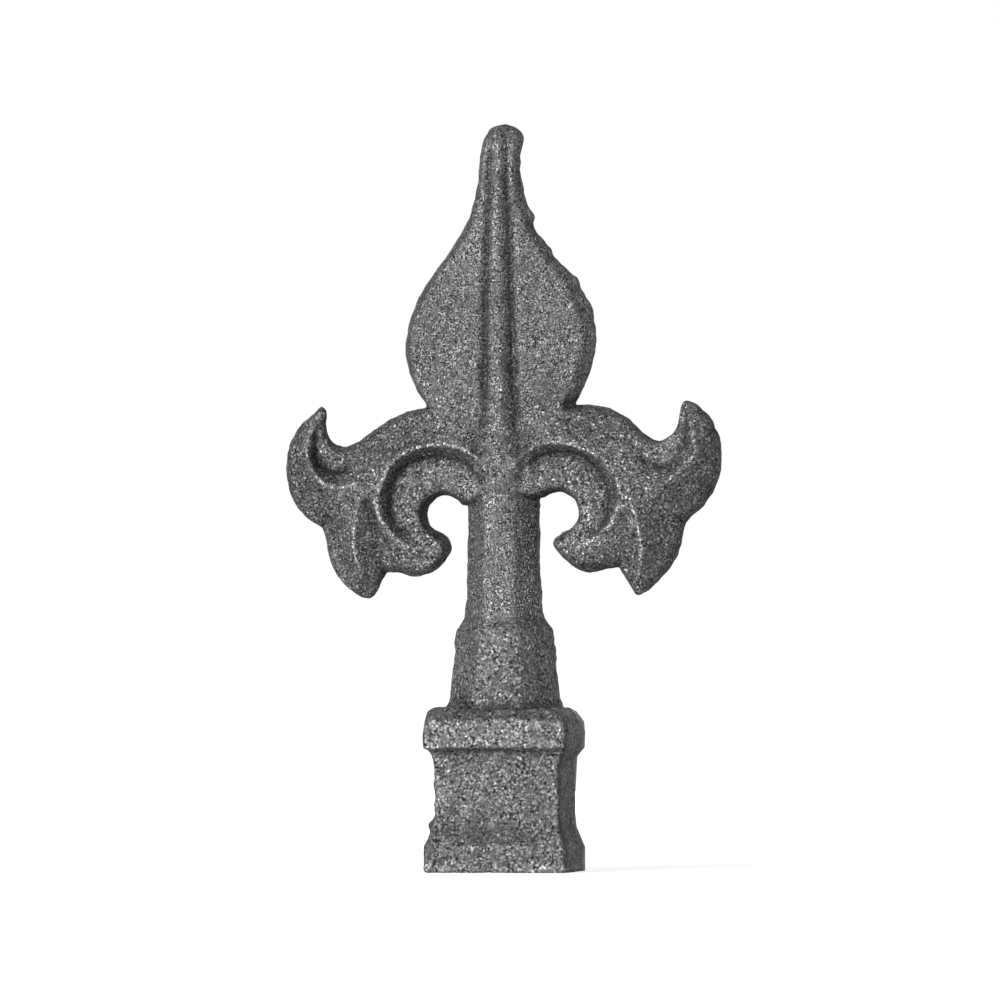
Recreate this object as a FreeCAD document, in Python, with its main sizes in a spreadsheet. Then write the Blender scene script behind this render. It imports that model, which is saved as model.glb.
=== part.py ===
import FreeCAD, Part
import math
import os
import Sketcher
from FreeCAD import Placement, Vector

# Cast iron fleur-de-lis finial that caps a square railing bar, in millimetres.
# It is one casting: a square base with a blind socket, a round stem, a spear leaf
# with a mid-rib and two petals. X runs across the petals, the front faces -Y and
# Z goes up from the foot. The origin is the middle of the base's underside.

doc = FreeCAD.newDocument("railing_finial")

# Driving dimensions: alias, value, what it is
size_rows = [
    ("band_width", 25.0, "square bands at the foot and head of the base"),
    ("block_width", 22.0, "square block between the bands"),
    ("corner_round", 1.2, "rounding of the base's upright corners"),
    ("edge_break", 0.7, "broken edges of the bands"),
    ("foot_band", 4.7, "height of the foot band"),
    ("foot_slope", 3.0, "height of the slope from the foot band to the block"),
    ("block_rise", 12.3, "height of the plain block"),
    ("head_slope", 1.9, "height of the slope from the block to the head band"),
    ("head_band", 4.9, "height of the head band"),
    ("cap_rise", 2.1, "height of the slope from the head band to the stem"),
    ("bar_size", 14.0, "square railing bar that the base fits over"),
    ("bar_clearance", 0.5, "socket's mouth, wider than the bar"),
    ("socket_depth", 22.0, "how far the bar goes in"),
    ("socket_draft", 0.3, "taper of the socket's walls, in degrees"),
    ("foot_radius", 9.8, "stem where it leaves the base"),
    ("collar_radius", 8.5, "stem at the top of its thick foot"),
    ("neck_radius", 6.35, "slim stem above the shoulder"),
    ("crown_radius", 4.4, "stem's end inside the leaf"),
    ("collar_rise", 12.8, "height of the stem's thick foot"),
    ("shoulder_rise", 2.7, "height of the sloped shoulder"),
    ("shoulder_step", 1.5, "how far the shoulder comes in"),
    ("throat_rise", 6.3, "height of the hollow above the shoulder"),
    ("neck_rise", 13.0, "height of the straight slim stem"),
    ("crown_rise", 9.0, "height of the stem's taper inside the leaf"),
    ("foot_hollow", 60.0, "radius of the thick foot's hollow side"),
    ("throat_hollow", 24.0, "radius of the hollow above the shoulder"),
    ("total_height", 130.0, "foot to tip"),
    ("leaf_root", 59.0, "height at which the leaf starts inside the stem"),
    ("leaf_half_width", 16.6, "leaf at its widest, from the middle"),
    ("tip_radius", 3.4, "rounded tip of the leaf"),
    ("edge_draft", 21.0, "slope of the leaf's edge, in degrees"),
    ("leaf_blade", 4.0, "half thickness of the leaf where it is widest"),
    ("rib_half_width", 2.25, "half width of the mid-rib"),
    ("rib_crest", 5.9, "crest of the mid-rib, from the middle plane"),
    ("scroll_offset", 12.3, "middle of the scroll, from the stem's axis"),
    ("scroll_height", 65.1, "middle of the scroll, above the foot"),
    ("scroll_radius", 8.9, "raised line around the scroll"),
    ("scroll_wall", 1.6, "width of the step inside the raised line"),
    ("scroll_floor", 5.3, "half thickness of the sunken scroll at its rim"),
    ("scroll_swell", 0.5, "how much the sunken scroll bulges"),
    ("arm_radius", 16.0, "top edge of the arm, around the scroll's middle"),
    ("arm_start_angle", -50.0, "where the arm ends below the scroll, in degrees"),
    ("arm_end_angle", 170.0, "where the arm ends inside the stem, in degrees"),
    ("lip_end_angle", -109.0, "where the lip under the scroll ends, in degrees"),
    ("eye_radius", 3.5, "round gap between the scroll and the stem"),
    ("eye_inset", 2.3, "middle of the gap, from the scroll's towards the stem"),
    ("eye_drop", 2.7, "middle of the gap, below the scroll's"),
    ("eye_bevel", 1.1, "width of the slope around the gap"),
    ("petal_crest", 7.5, "half thickness at the petals' ridges"),
    ("petal_edge", 3.9, "half thickness beside the petals' edge"),
    ("petal_bevel", 1.5, "width of the slope along the petals' edge"),
    ("petal_reach", 38.1, "outermost point of a petal, from the axis"),
    ("hook_tip_height", 81.0, "upturned tip of a petal, above the foot"),
    ("hook_hollow", 2.8, "half thickness in the hook's scooped hollow"),
    ("drop_tip_height", 48.0, "hanging tip of a petal, above the foot"),
    ("drop_offset", 25.2, "ridge of the hanging lobe, from the axis"),
    ("drop_half_width", 6.4, "hanging lobe, from its ridge to its edge"),
]

sheet = doc.addObject("Spreadsheet::Sheet", "sizes")
for line, (alias, value, note) in enumerate(size_rows, start=1):
    sheet.set(f"A{line}", note)
    sheet.set(f"B{line}", str(value))
    sheet.setAlias(f"B{line}", alias)
doc.recompute()


def size(alias):
    return float(getattr(sheet, alias))


def evaluate(expression):
    return float(sheet.evalExpression(expression))


# Levels of the base and stem, each as an expression in the sheet's values
at_foot_band = "sizes.foot_band"
at_block = f"{at_foot_band} + sizes.foot_slope"
at_head_slope = f"{at_block} + sizes.block_rise"
at_head_band = f"{at_head_slope} + sizes.head_slope"
at_cap = f"{at_head_band} + sizes.head_band"
at_stem = f"{at_cap} + sizes.cap_rise"
at_collar = f"{at_stem} + sizes.collar_rise"
at_shoulder = f"{at_collar} + sizes.shoulder_rise"
at_neck = f"{at_shoulder} + sizes.throat_rise"
at_neck_top = f"{at_neck} + sizes.neck_rise"
at_crown = f"{at_neck_top} + sizes.crown_rise"

up = Vector(0, 0, 1)
across = Vector(1, 0, 0)
through = Vector(0, 1, 0)
full_turn = 360


def newSketch(body, name, role):
    sketch = body.newObject("Sketcher::SketchObject", name)
    planes = [feature for feature in body.Origin.OriginFeatures if feature.Role == role]
    sketch.AttachmentSupport = [(planes[0], "")]
    sketch.MapMode = "FlatFace"
    return sketch


# A constraint whose value follows an expression in the sheet's values
def bind(sketch, name, expression, kind, *places):
    index = sketch.addConstraint(Sketcher.Constraint(kind, *places, evaluate(expression)))
    sketch.renameConstraint(index, name)
    sketch.setExpression(f"Constraints.{name}", expression)


# Four sides in the order right, top, left, bottom, held around the axis
def holdSquare(sketch, sides, side):
    right, top, left, bottom = sides
    for upright in (right, left):
        sketch.addConstraint(Sketcher.Constraint("Vertical", upright))
    for level in (top, bottom):
        sketch.addConstraint(Sketcher.Constraint("Horizontal", level))
    half_side = f"({side}) / 2"
    bind(sketch, "toRight", half_side, "DistanceX", -1, 1, right, 1)
    bind(sketch, "toLeft", half_side, "DistanceX", left, 1, -1, 1)
    bind(sketch, "toTop", half_side, "DistanceY", -1, 1, top, 1)
    bind(sketch, "toBottom", half_side, "DistanceY", bottom, 1, -1, 1)


square_corners = [(1, -1), (1, 1), (-1, 1), (-1, -1)]


def drawSquare(sketch, side):
    half = evaluate(side) / 2
    corners = [Vector(sign_x * half, sign_y * half, 0) for sign_x, sign_y in square_corners]
    sides = [sketch.addGeometry(Part.LineSegment(start, end))
             for start, end in zip(corners, corners[1:] + corners[:1])]
    for before, after in zip(sides, sides[1:] + sides[:1]):
        sketch.addConstraint(Sketcher.Constraint("Coincident", before, 2, after, 1))
    holdSquare(sketch, sides, side)


def drawRoundedSquare(sketch, side):
    radius = size("corner_round")
    inner = evaluate(side) / 2 - radius
    quarter = math.pi / 2
    arcs = []
    for turn, (sign_x, sign_y) in enumerate(square_corners):
        circle = Part.Circle(Vector(sign_x * inner, sign_y * inner, 0), up, radius)
        start = (turn - 1) * quarter
        arcs.append(sketch.addGeometry(Part.ArcOfCircle(circle, start, start + quarter)))
    sides = []
    for before, after in zip(arcs, arcs[1:] + arcs[:1]):
        line = Part.LineSegment(sketch.Geometry[before].EndPoint, sketch.Geometry[after].StartPoint)
        sides.append(sketch.addGeometry(line))
        sketch.addConstraint(Sketcher.Constraint("Tangent", before, 2, sides[-1], 1))
        sketch.addConstraint(Sketcher.Constraint("Tangent", sides[-1], 2, after, 1))
    for other in arcs[1:]:
        sketch.addConstraint(Sketcher.Constraint("Equal", arcs[0], other))
    bind(sketch, "corner", "sizes.corner_round", "Radius", arcs[0])
    holdSquare(sketch, sides, side)


core = doc.addObject("PartDesign::Body", "base_and_stem")

# Mouldings of the base: rounded squares up the axis, joined by straight slopes
band = "sizes.band_width"
broken_band = "sizes.band_width - 2 * sizes.edge_break"
block = "sizes.block_width"
levels = [
    ("foot", "0 mm", broken_band),
    ("foot_edge", "sizes.edge_break", band),
    ("foot_band_top", at_foot_band, band),
    ("block_foot", at_block, block),
    ("block_top", at_head_slope, block),
    ("head_band_foot", at_head_band, band),
    ("head_band_top", f"{at_cap} - sizes.edge_break", band),
    ("head_edge", at_cap, broken_band),
    ("cap_top", at_stem, "2 * sizes.foot_radius"),
]
level_sketches = []
for name, height, side in levels:
    level_sketch = newSketch(core, f"{name}_outline", "XY_Plane")
    level_sketch.setExpression("AttachmentOffset.Base.z", height)
    drawRoundedSquare(level_sketch, side)
    level_sketches.append(level_sketch)
mouldings = core.newObject("PartDesign::AdditiveLoft", "mouldings")
mouldings.Profile = level_sketches[0]
mouldings.Sections = level_sketches[1:]
mouldings.Ruled = True
doc.recompute()


# Arc between two points of the stem's outline that bows towards the axis
def hollowArc(low, high, radius):
    half = (high - low) / 2
    outward = Vector(half.y, -half.x, 0).normalize()
    middle = low + half + outward * math.sqrt(radius ** 2 - half.Length ** 2)
    low_angle = math.atan2(low.y - middle.y, low.x - middle.x) % math.tau
    high_angle = math.atan2(high.y - middle.y, high.x - middle.x) % math.tau
    return Part.ArcOfCircle(Part.Circle(middle, up, radius), high_angle, low_angle)


# Half outline of the stem, from inside the base round to inside the leaf: name,
# distance from the axis, height, and the hollow curve that starts there, if any
stem_corners = [
    ("rootAxis", None, at_cap, None),
    ("root", "sizes.foot_radius", at_cap, None),
    ("foot", "sizes.foot_radius", at_stem, "sizes.foot_hollow"),
    ("collar", "sizes.collar_radius", at_collar, None),
    ("shoulder", "sizes.collar_radius - sizes.shoulder_step", at_shoulder, "sizes.throat_hollow"),
    ("neck", "sizes.neck_radius", at_neck, None),
    ("neckTop", "sizes.neck_radius", at_neck_top, None),
    ("crown", "sizes.crown_radius", at_crown, None),
    ("crownAxis", None, at_crown, None),
]


# A hollow arc runs backwards along the outline, so it starts at its second vertex
def drawStem(sketch):
    points = [Vector(evaluate(out) if out else 0, evaluate(height), 0)
              for _, out, height, _ in stem_corners]
    edges = []
    for low, high, (_, _, _, hollow) in zip(points, points[1:] + points[:1], stem_corners):
        curve = hollowArc(low, high, evaluate(hollow)) if hollow else Part.LineSegment(low, high)
        edges.append((sketch.addGeometry(curve), 2 if hollow else 1))
    for (edge, start), (after, after_start) in zip(edges, edges[1:] + edges[:1]):
        end = 3 - start
        sketch.addConstraint(Sketcher.Constraint("Coincident", edge, end, after, after_start))
    for (name, out, height, hollow), (edge, start) in zip(stem_corners, edges):
        bind(sketch, f"{name}Height", height, "DistanceY", -1, 1, edge, start)
        if out:
            bind(sketch, f"{name}Out", out, "DistanceX", -1, 1, edge, start)
        else:
            sketch.addConstraint(Sketcher.Constraint("PointOnObject", edge, start, -2))
        if hollow:
            bind(sketch, f"{name}Hollow", hollow, "Radius", edge)


stem_sketch = newSketch(core, "stem_outline", "XZ_Plane")
drawStem(stem_sketch)
stem = core.newObject("PartDesign::Revolution", "stem")
stem.Profile = stem_sketch
stem.ReferenceAxis = (stem_sketch, ["V_Axis"])
stem.Angle = full_turn
doc.recompute()

# Blind square socket for the bar, open at the foot and a little narrower at its end
socket_sketch = newSketch(core, "socket_outline", "XY_Plane")
drawSquare(socket_sketch, "sizes.bar_size + sizes.bar_clearance")
socket = core.newObject("PartDesign::Pocket", "socket")
socket.Profile = socket_sketch
socket.Reversed = True
socket.setExpression("Length", "sizes.socket_depth")
socket.setExpression("TaperAngle", "-sizes.socket_draft")
doc.recompute()
socket_volume = stem.Shape.Volume - socket.Shape.Volume
bar_volume = size("bar_size") ** 2 * size("socket_depth")
if socket_volume < bar_volume:
    raise RuntimeError("the socket has no room for the bar")


def addForm(name, shape):
    form = doc.addObject("Part::Feature", name)
    form.Shape = shape
    form.Placement = Placement()
    return form


def closedWire(points):
    return Part.makePolygon(points + [points[0]])


# Closed section from its front points; those off the middle plane repeat behind it
def bothSides(front):
    back = [Vector(point.x, -point.y, point.z) for point in reversed(front) if point.y < 0]
    return closedWire(front + back)


def carve(wires, ruled=False):
    return Part.makeLoft(wires, True, ruled)


# Leaf: its right edge on the middle plane as shares of the half width and of the
# height from the root to the tip
neck_foot = (0.225, 0.873)
neck_hollow = (0.295, 0.796)
flare = (0.506, 0.696)
leaf_shoulder = (0.783, 0.614)
widest = (1.0, 0.476)
waist = (0.825, 0.324)
fold = (0.60, 0.215)
root_top = (0.29, 0.105)
root_foot = (0.27, 0.0)

leaf_rise = size("total_height") - size("leaf_root")


def leafLevel(share):
    return size("leaf_root") + share * leaf_rise


def leafPoint(place):
    return Vector(place[0] * size("leaf_half_width"), 0, leafLevel(place[1]))


def leafOutline():
    tip_radius = size("tip_radius")
    tip = Vector(0, 0, size("total_height"))
    tip_middle = tip - up * tip_radius
    tip_side = tip_middle + across * tip_radius
    tip_bow = tip_middle + (across + up).normalize() * tip_radius
    right = [
        Part.Arc(tip, tip_bow, tip_side),
        Part.LineSegment(tip_side, leafPoint(neck_foot)),
        Part.Arc(leafPoint(neck_foot), leafPoint(neck_hollow), leafPoint(flare)),
        Part.LineSegment(leafPoint(flare), leafPoint(leaf_shoulder)),
        Part.Arc(leafPoint(leaf_shoulder), leafPoint(widest), leafPoint(waist)),
        Part.LineSegment(leafPoint(waist), leafPoint(fold)),
        Part.LineSegment(leafPoint(fold), leafPoint(root_top)),
        Part.LineSegment(leafPoint(root_top), leafPoint(root_foot)),
    ]
    right = [curve.toShape() for curve in right]
    left = [edge.mirror(Vector(), across) for edge in right]
    root = leafPoint(root_foot)
    foot = Part.LineSegment(root, Vector(-root.x, 0, root.z)).toShape()
    return Part.Wire(Part.__sortEdges__(right + [foot] + left))


# The leaf narrows away from the middle plane on both sides, as a cast edge does. The
# plate is deeper than the blade and the slab is wider, so that their common is whole.
plate_depth_share = 1.5
slab_width_share = 3
leaf_plate = doc.addObject("Part::Extrusion", "leaf_plate")
leaf_plate.Base = addForm("leaf_outline", leafOutline())
leaf_plate.DirMode = "Custom"
leaf_plate.Dir = through
leaf_plate.Solid = True
for length in ("LengthFwd", "LengthRev"):
    leaf_plate.setExpression(length, f"{plate_depth_share} * sizes.leaf_blade")
for taper in ("TaperAngle", "TaperAngleRev"):
    leaf_plate.setExpression(taper, "-sizes.edge_draft")

# Blade seen from the side: level from root to tip, half thickness as a share of
# leaf_blade. It is thickest at the root, where it runs into the arms.
blade_stations = [
    (-0.02, 1.30),
    (0.20, 1.40),
    (0.36, 1.17),
    (0.55, 0.93),
    (0.84, 0.73),
    (0.96, 0.58),
    (1.01, 0.30),
]


def bladeSide():
    front = [Vector(0, -share * size("leaf_blade"), leafLevel(level))
             for level, share in blade_stations]
    back = [Vector(0, -point.y, point.z) for point in front]
    faces = []
    for points in (front, back):
        curve = Part.BSplineCurve()
        curve.interpolate(points)
        faces.append(curve.toShape())
    ends = [Part.LineSegment(front[end], back[end]).toShape() for end in (0, -1)]
    return Part.Face(Part.Wire(Part.__sortEdges__([ends[0], faces[0], ends[1], faces[1]])))


leaf_slab = doc.addObject("Part::Extrusion", "leaf_slab")
leaf_slab.Base = addForm("leaf_side", bladeSide())
leaf_slab.DirMode = "Custom"
leaf_slab.Dir = across
leaf_slab.Symmetric = True
leaf_slab.setExpression("LengthFwd", f"{slab_width_share} * sizes.leaf_half_width")
leaf = doc.addObject("Part::Common", "leaf")
leaf.Base = leaf_plate
leaf.Tool = leaf_slab

# Mid-rib: level, half width share, crest share. Its flanks rise from this share of
# the crest, which lies inside the blade.
rib_stations = [
    (0.00, 0.75, 0.90),
    (0.14, 1.05, 1.14),
    (0.36, 1.05, 1.08),
    (0.60, 0.95, 0.94),
    (0.82, 0.75, 0.78),
    (0.94, 0.60, 0.64),
    (0.985, 0.40, 0.40),
]
rib_flank_foot = 0.6


def ribWire(level, width_share, crest_share):
    half = width_share * size("rib_half_width")
    crest = crest_share * size("rib_crest")
    flank = rib_flank_foot * crest
    profile = [(half, flank), (0, crest), (-half, flank)]
    return bothSides([Vector(out, -depth, leafLevel(level)) for out, depth in profile])


leaf_rib = addForm("leaf_rib", carve([ribWire(*station) for station in rib_stations]))

# Petals: the right one is made, and the left one mirrors it
scroll_middle = Vector(size("scroll_offset"), 0, size("scroll_height"))
ridge_depth = size("petal_crest")
edge_depth = size("petal_edge")


def around(angle, radius, depth):
    turn = math.radians(angle)
    return scroll_middle + Vector(radius * math.cos(turn), -depth, radius * math.sin(turn))


# Arm: its section turned about the scroll's middle, from under the scroll up and
# over into the stem
arm_shoulder = size("arm_radius") - size("petal_bevel")
arm_half = [
    (0, ridge_depth),
    (size("scroll_radius"), ridge_depth),
    (arm_shoulder, edge_depth),
    (size("arm_radius"), 0),
]
arm_section = arm_half + [(radius, -depth) for radius, depth in reversed(arm_half[:-1])]
arm_face = Part.Face(closedWire([around(size("arm_start_angle"), *point) for point in arm_section]))
arm_sweep = size("arm_end_angle") - size("arm_start_angle")
arm = addForm("arm", arm_face.revolve(scroll_middle, -through, arm_sweep))

# Lip: carries the arm on under the scroll. Share of the way from the arm's end to
# the lip's, outer edge as a share of the arm's radius, ridge as a share of the
# scroll's radius, depth share. The first station lies inside the arm.
lip_stations = [
    (-0.17, 0.89, 0.97, 0.96),
    (0.135, 0.922, 0.99, 0.95),
    (0.305, 0.865, 0.97, 0.90),
    (0.54, 0.83, 0.90, 0.80),
    (0.78, 0.71, 0.78, 0.72),
    (1.00, 0.57, 0.62, 0.68),
]
lip_shoulder = 0.72
lip_inner = 1.0


def lipWire(way, reach_share, ridge_share, depth_share):
    angle = size("arm_start_angle") + way * (size("lip_end_angle") - size("arm_start_angle"))
    reach = reach_share * size("arm_radius")
    ridge = ridge_share * size("scroll_radius")
    depth = depth_share * ridge_depth
    profile = [
        (lip_inner, 0),
        (lip_inner, depth),
        (ridge, depth),
        (ridge + lip_shoulder * (reach - ridge), depth + lip_shoulder * (edge_depth - depth)),
        (reach, 0),
    ]
    return bothSides([around(angle, *point) for point in profile])


lip = addForm("lip", carve([lipWire(*station) for station in lip_stations], ruled=True))

# Hanging lobe: level from its tip to the scroll's middle, inner edge, outer edge and
# shift of the ridge as shares of the half width, depth share
drop_stations = [
    (1.10, 1.12, 0.80, -0.08, 0.92),
    (0.70, 1.03, 1.00, 0.00, 1.00),
    (0.47, 0.90, 0.84, 0.01, 0.94),
    (0.28, 0.72, 0.62, -0.04, 0.80),
    (0.12, 0.40, 0.36, -0.13, 0.55),
    (0.03, 0.19, 0.16, -0.21, 0.32),
    (0.00, 0.08, 0.08, -0.25, 0.18),
]
drop_edge_inset = 0.13
drop_edge_depth = 0.42


def dropWire(level, inner_share, outer_share, ridge_shift, depth_share):
    height = size("drop_tip_height") + level * (scroll_middle.z - size("drop_tip_height"))
    ridge = size("drop_offset") + ridge_shift * size("drop_half_width")
    to_inner = inner_share * size("drop_half_width")
    to_outer = outer_share * size("drop_half_width")
    depth = depth_share * ridge_depth
    edge = drop_edge_depth * depth
    profile = [
        (ridge - to_inner, 0),
        (ridge - (1 - drop_edge_inset) * to_inner, edge),
        (ridge, depth),
        (ridge + (1 - drop_edge_inset) * to_outer, edge),
        (ridge + to_outer, 0),
    ]
    return bothSides([Vector(out, -depth, height) for out, depth in profile])


drop = addForm("drop", carve([dropWire(*station) for station in drop_stations]))

# Hook: inner edge and outer edge, both as shares of the way from the arm's outside to
# the petal's reach and of the rise from the scroll's middle to the tip, then the
# ridge's place between them, its depth share and the hollow's share of hook_hollow.
# The first station lies inside the arm.
hook_stations = [
    ((-0.42, 0.655), (0.16, -0.335), 0.56, 0.89, 1.35),
    ((-0.28, 0.63), (0.33, -0.30), 0.56, 0.86, 1.20),
    ((-0.05, 0.575), (0.70, -0.12), 0.54, 0.76, 1.00),
    ((0.145, 0.64), (0.96, 0.24), 0.50, 0.67, 0.90),
    ((0.25, 0.725), (0.99, 0.53), 0.47, 0.60, 0.80),
    ((0.275, 0.825), (0.855, 0.73), 0.44, 0.50, 0.68),
    ((0.30, 0.915), (0.66, 0.885), 0.42, 0.38, 0.55),
    ((0.395, 1.00), (0.47, 0.995), 0.50, 0.20, 0.40),
]
hook_lip = (0.08, 0.85)
hook_hollow_place = 0.30
hook_shoulder = (0.90, 0.50)


def hookWire(inner, outer, ridge_place, depth_share, hollow_share):
    root = scroll_middle + across * size("arm_radius")
    way = size("petal_reach") - root.x
    rise = size("hook_tip_height") - root.z
    start = root + Vector(way * inner[0], 0, rise * inner[1])
    end = root + Vector(way * outer[0], 0, rise * outer[1])
    depth = depth_share * ridge_depth
    hollow = hollow_share * size("hook_hollow")
    profile = [
        (0, 0),
        (hook_lip[0], hook_lip[1] * hollow),
        (hook_hollow_place, hollow),
        (ridge_place, depth),
        (hook_shoulder[0], hook_shoulder[1] * depth),
        (1, 0),
    ]
    return bothSides([start + (end - start) * place - through * depth for place, depth in profile])


hook = addForm("hook", carve([hookWire(*station) for station in hook_stations], ruled=True))

petal = doc.addObject("Part::MultiFuse", "right_petal")
petal.Shapes = [arm, lip, drop, hook]

# Sunken scroll, on both sides: a swelling floor, and a wall that slopes out to the
# raised line. The cut goes on past the ridges at the same slope.
cut_margin = 1.5
cut_depth = ridge_depth + cut_margin
floor_depth = size("scroll_floor")


def turned(name, middle, section):
    return addForm(name, Part.Face(section).revolve(middle, through, full_turn))


def scrollSection(side):
    floor_radius = size("scroll_radius") - size("scroll_wall")
    slope = size("scroll_wall") / (ridge_depth - floor_depth)
    profile = [
        (0, floor_depth + size("scroll_swell")),
        (floor_radius, floor_depth),
        (floor_radius + slope * (cut_depth - floor_depth), cut_depth),
        (0, cut_depth),
    ]
    return closedWire([scroll_middle + Vector(radius, -side * depth, 0) for radius, depth in profile])


front_scroll = turned("front_scroll", scroll_middle, scrollSection(1))
back_scroll = turned("back_scroll", scroll_middle, scrollSection(-1))

# Round gap beside the stem, right through, with a slope around it on both sides
eye_middle = scroll_middle - Vector(size("eye_inset"), 0, size("eye_drop"))
eye_throat = floor_depth / 2
eye_slope = size("eye_bevel") / (floor_depth - eye_throat)
eye_mouth = size("eye_radius") + eye_slope * (cut_depth - eye_throat)
eye_half = [(0, -cut_depth), (eye_mouth, -cut_depth), (size("eye_radius"), -eye_throat)]
eye_section = eye_half + [(radius, -depth) for radius, depth in reversed(eye_half)]
eye_wire = closedWire([eye_middle + Vector(radius, depth, 0) for radius, depth in eye_section])
eye = turned("eye", eye_middle, eye_wire)

scroll_cut = doc.addObject("Part::MultiFuse", "right_scroll_cut")
scroll_cut.Shapes = [front_scroll, back_scroll, eye]


def mirrored(name, source):
    copy = doc.addObject("Part::Mirroring", name)
    copy.Source = source
    copy.Normal = across
    return copy


# One casting
cast_body = doc.addObject("Part::MultiFuse", "cast_body")
cast_body.Shapes = [core, leaf, leaf_rib, petal, mirrored("left_petal", petal)]
cuts = doc.addObject("Part::MultiFuse", "scroll_cuts")
cuts.Shapes = [scroll_cut, mirrored("left_scroll_cut", scroll_cut)]
finial = doc.addObject("Part::Cut", "finial")
finial.Base = cast_body
finial.Tool = cuts
doc.recompute()

# Nothing is written unless every feature is sound and the casting is one solid
for item in doc.Objects:
    if "Invalid" in item.State or "Error" in item.State:
        raise RuntimeError(f"{item.Label} failed")
if finial.Shape.isNull() or not finial.Shape.isValid():
    raise RuntimeError("the finial's shape is not sound")
if len(finial.Shape.Solids) != 1:
    raise RuntimeError(f"the finial has {len(finial.Shape.Solids)} solids instead of one")

os.makedirs("parts", exist_ok=True)
finial.Shape.exportStep(f"parts/{finial.Label}.step")
box = finial.Shape.optimalBoundingBox()
print(f"finial: {finial.Shape.Volume:.0f} cubic mm, "
      f"{box.XLength:.1f} x {box.YLength:.1f} x {box.ZLength:.1f} mm")
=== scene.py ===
import math

import bpy
import numpy as np
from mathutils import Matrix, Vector


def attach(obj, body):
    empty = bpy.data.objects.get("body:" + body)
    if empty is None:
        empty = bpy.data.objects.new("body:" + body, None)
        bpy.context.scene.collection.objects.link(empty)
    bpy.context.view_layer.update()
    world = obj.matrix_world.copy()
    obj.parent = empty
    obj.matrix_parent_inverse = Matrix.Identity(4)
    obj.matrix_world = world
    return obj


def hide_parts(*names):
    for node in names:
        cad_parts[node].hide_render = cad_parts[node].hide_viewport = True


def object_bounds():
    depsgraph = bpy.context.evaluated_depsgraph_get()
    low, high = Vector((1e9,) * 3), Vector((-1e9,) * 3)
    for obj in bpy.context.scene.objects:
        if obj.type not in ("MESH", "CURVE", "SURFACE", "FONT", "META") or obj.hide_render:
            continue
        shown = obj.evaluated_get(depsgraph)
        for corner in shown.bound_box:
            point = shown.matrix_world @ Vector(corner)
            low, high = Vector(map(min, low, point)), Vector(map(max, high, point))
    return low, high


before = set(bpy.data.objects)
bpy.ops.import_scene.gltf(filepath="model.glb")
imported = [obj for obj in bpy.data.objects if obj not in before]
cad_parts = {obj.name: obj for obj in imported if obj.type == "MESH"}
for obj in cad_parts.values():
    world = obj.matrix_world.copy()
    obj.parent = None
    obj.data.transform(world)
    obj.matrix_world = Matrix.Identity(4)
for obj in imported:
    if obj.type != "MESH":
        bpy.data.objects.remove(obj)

# Cast iron fleur-de-lis finial, as it comes out of the shot blaster. The outlines and
# lines below are in millimetres, seen from the front: distance from the stem's axis,
# height above the foot, and half thickness where there is a third number.
mm = 0.001

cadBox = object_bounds()
lowCorner, highCorner = (np.array(corner) / mm for corner in cadBox)
footZ, tipZ = lowCorner[2], highCorner[2]

casting = {
    "gridStep": 0.24,  # width of one cell of the casting's grid
    "gridDepth": 0.30,  # the same from front to back
    "mapStep": 0.17,  # cell of the flat map that holds the relief
    "mapFoot": 44.0,  # where that map starts, above the foot
    "reliefFoot": 45.0,  # where the relief itself starts
    "margin": 1.2,  # empty room around the casting
    "farOutside": -20.0,  # stands for places well clear of the metal
    "steepest": 5.0,  # steepest side of the relief that the grid follows
    "fallOutside": 3.0,  # how fast the relief drops beyond its outline
    "longestRun": 3.0,  # a longer step in an outline is its open foot
    "stemCover": [(72.0, 5.5), (66.0, 6.1)],  # height, and how far out the stem covers it
    "coverTop": 80.0,  # where the stem ends in front of the leaf
    "skinBlend": 0.7,  # fillet where two forms run together
    "castRounding": 0.17,  # softness that sand gives to every edge
    "edgeWaver": 0.16,  # wandering of the cast edge
    "waverWidth": 1.1,  # width of one wave of it
    "waverSeed": 11,
    "reliefSoftness": 0.12,  # rounding of the carved lines
    "mostFaces": 196000,  # triangles of the finished casting
    "backFrom": 6.0,  # depth from which they are thinned out most
    "frontThinning": 0.75,  # share of that thinning before it
    "boxRoom": 0.005,  # room kept inside the outer box
    "lastCell": 1.001,  # keeps what is read inside the grid's last cell
}
mapStep = casting["mapStep"]


# Smooth line through points; a point written twice in a row is a corner
def drawLine(points, closed=False, parts=8):
    p = np.array(points, dtype=float)
    if closed:
        p = np.vstack([p[-1], p, p[0], p[1]])
    else:
        p = np.vstack([p[0], p, p[-1]])
    a, b, c, d = p[:-3], p[1:-2], p[2:-1], p[3:]
    line = []
    for t in np.linspace(0, 1, parts, endpoint=False):
        line.append(0.5 * (2 * b + (c - a) * t + (2 * a - 5 * b + 4 * c - d) * t ** 2
                           + (3 * b - a - 3 * c + d) * t ** 3))
    line = np.stack(line, axis=1).reshape(-1, p.shape[1])
    return line if closed else np.vstack([line, p[-2]])


# Flat map of the relief, across and up
mapX = np.arange(lowCorner[0] - casting["margin"], highCorner[0] + casting["margin"], mapStep)
mapZ = np.arange(casting["mapFoot"], tipZ + casting["margin"], mapStep)
gridX, gridZ = np.meshgrid(mapX, mapZ, indexing="ij")


# Which places of the map are inside a closed outline
def insideMask(outline):
    inside = np.zeros(gridX.shape, dtype=bool)
    for (ax, az), (bx, bz) in zip(outline, np.roll(outline, -1, axis=0)):
        if az != bz:
            crossed = (az > gridZ) != (bz > gridZ)
            inside ^= crossed & (gridX < ax + (gridZ - az) * (bx - ax) / (bz - az))
    return inside


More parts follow.
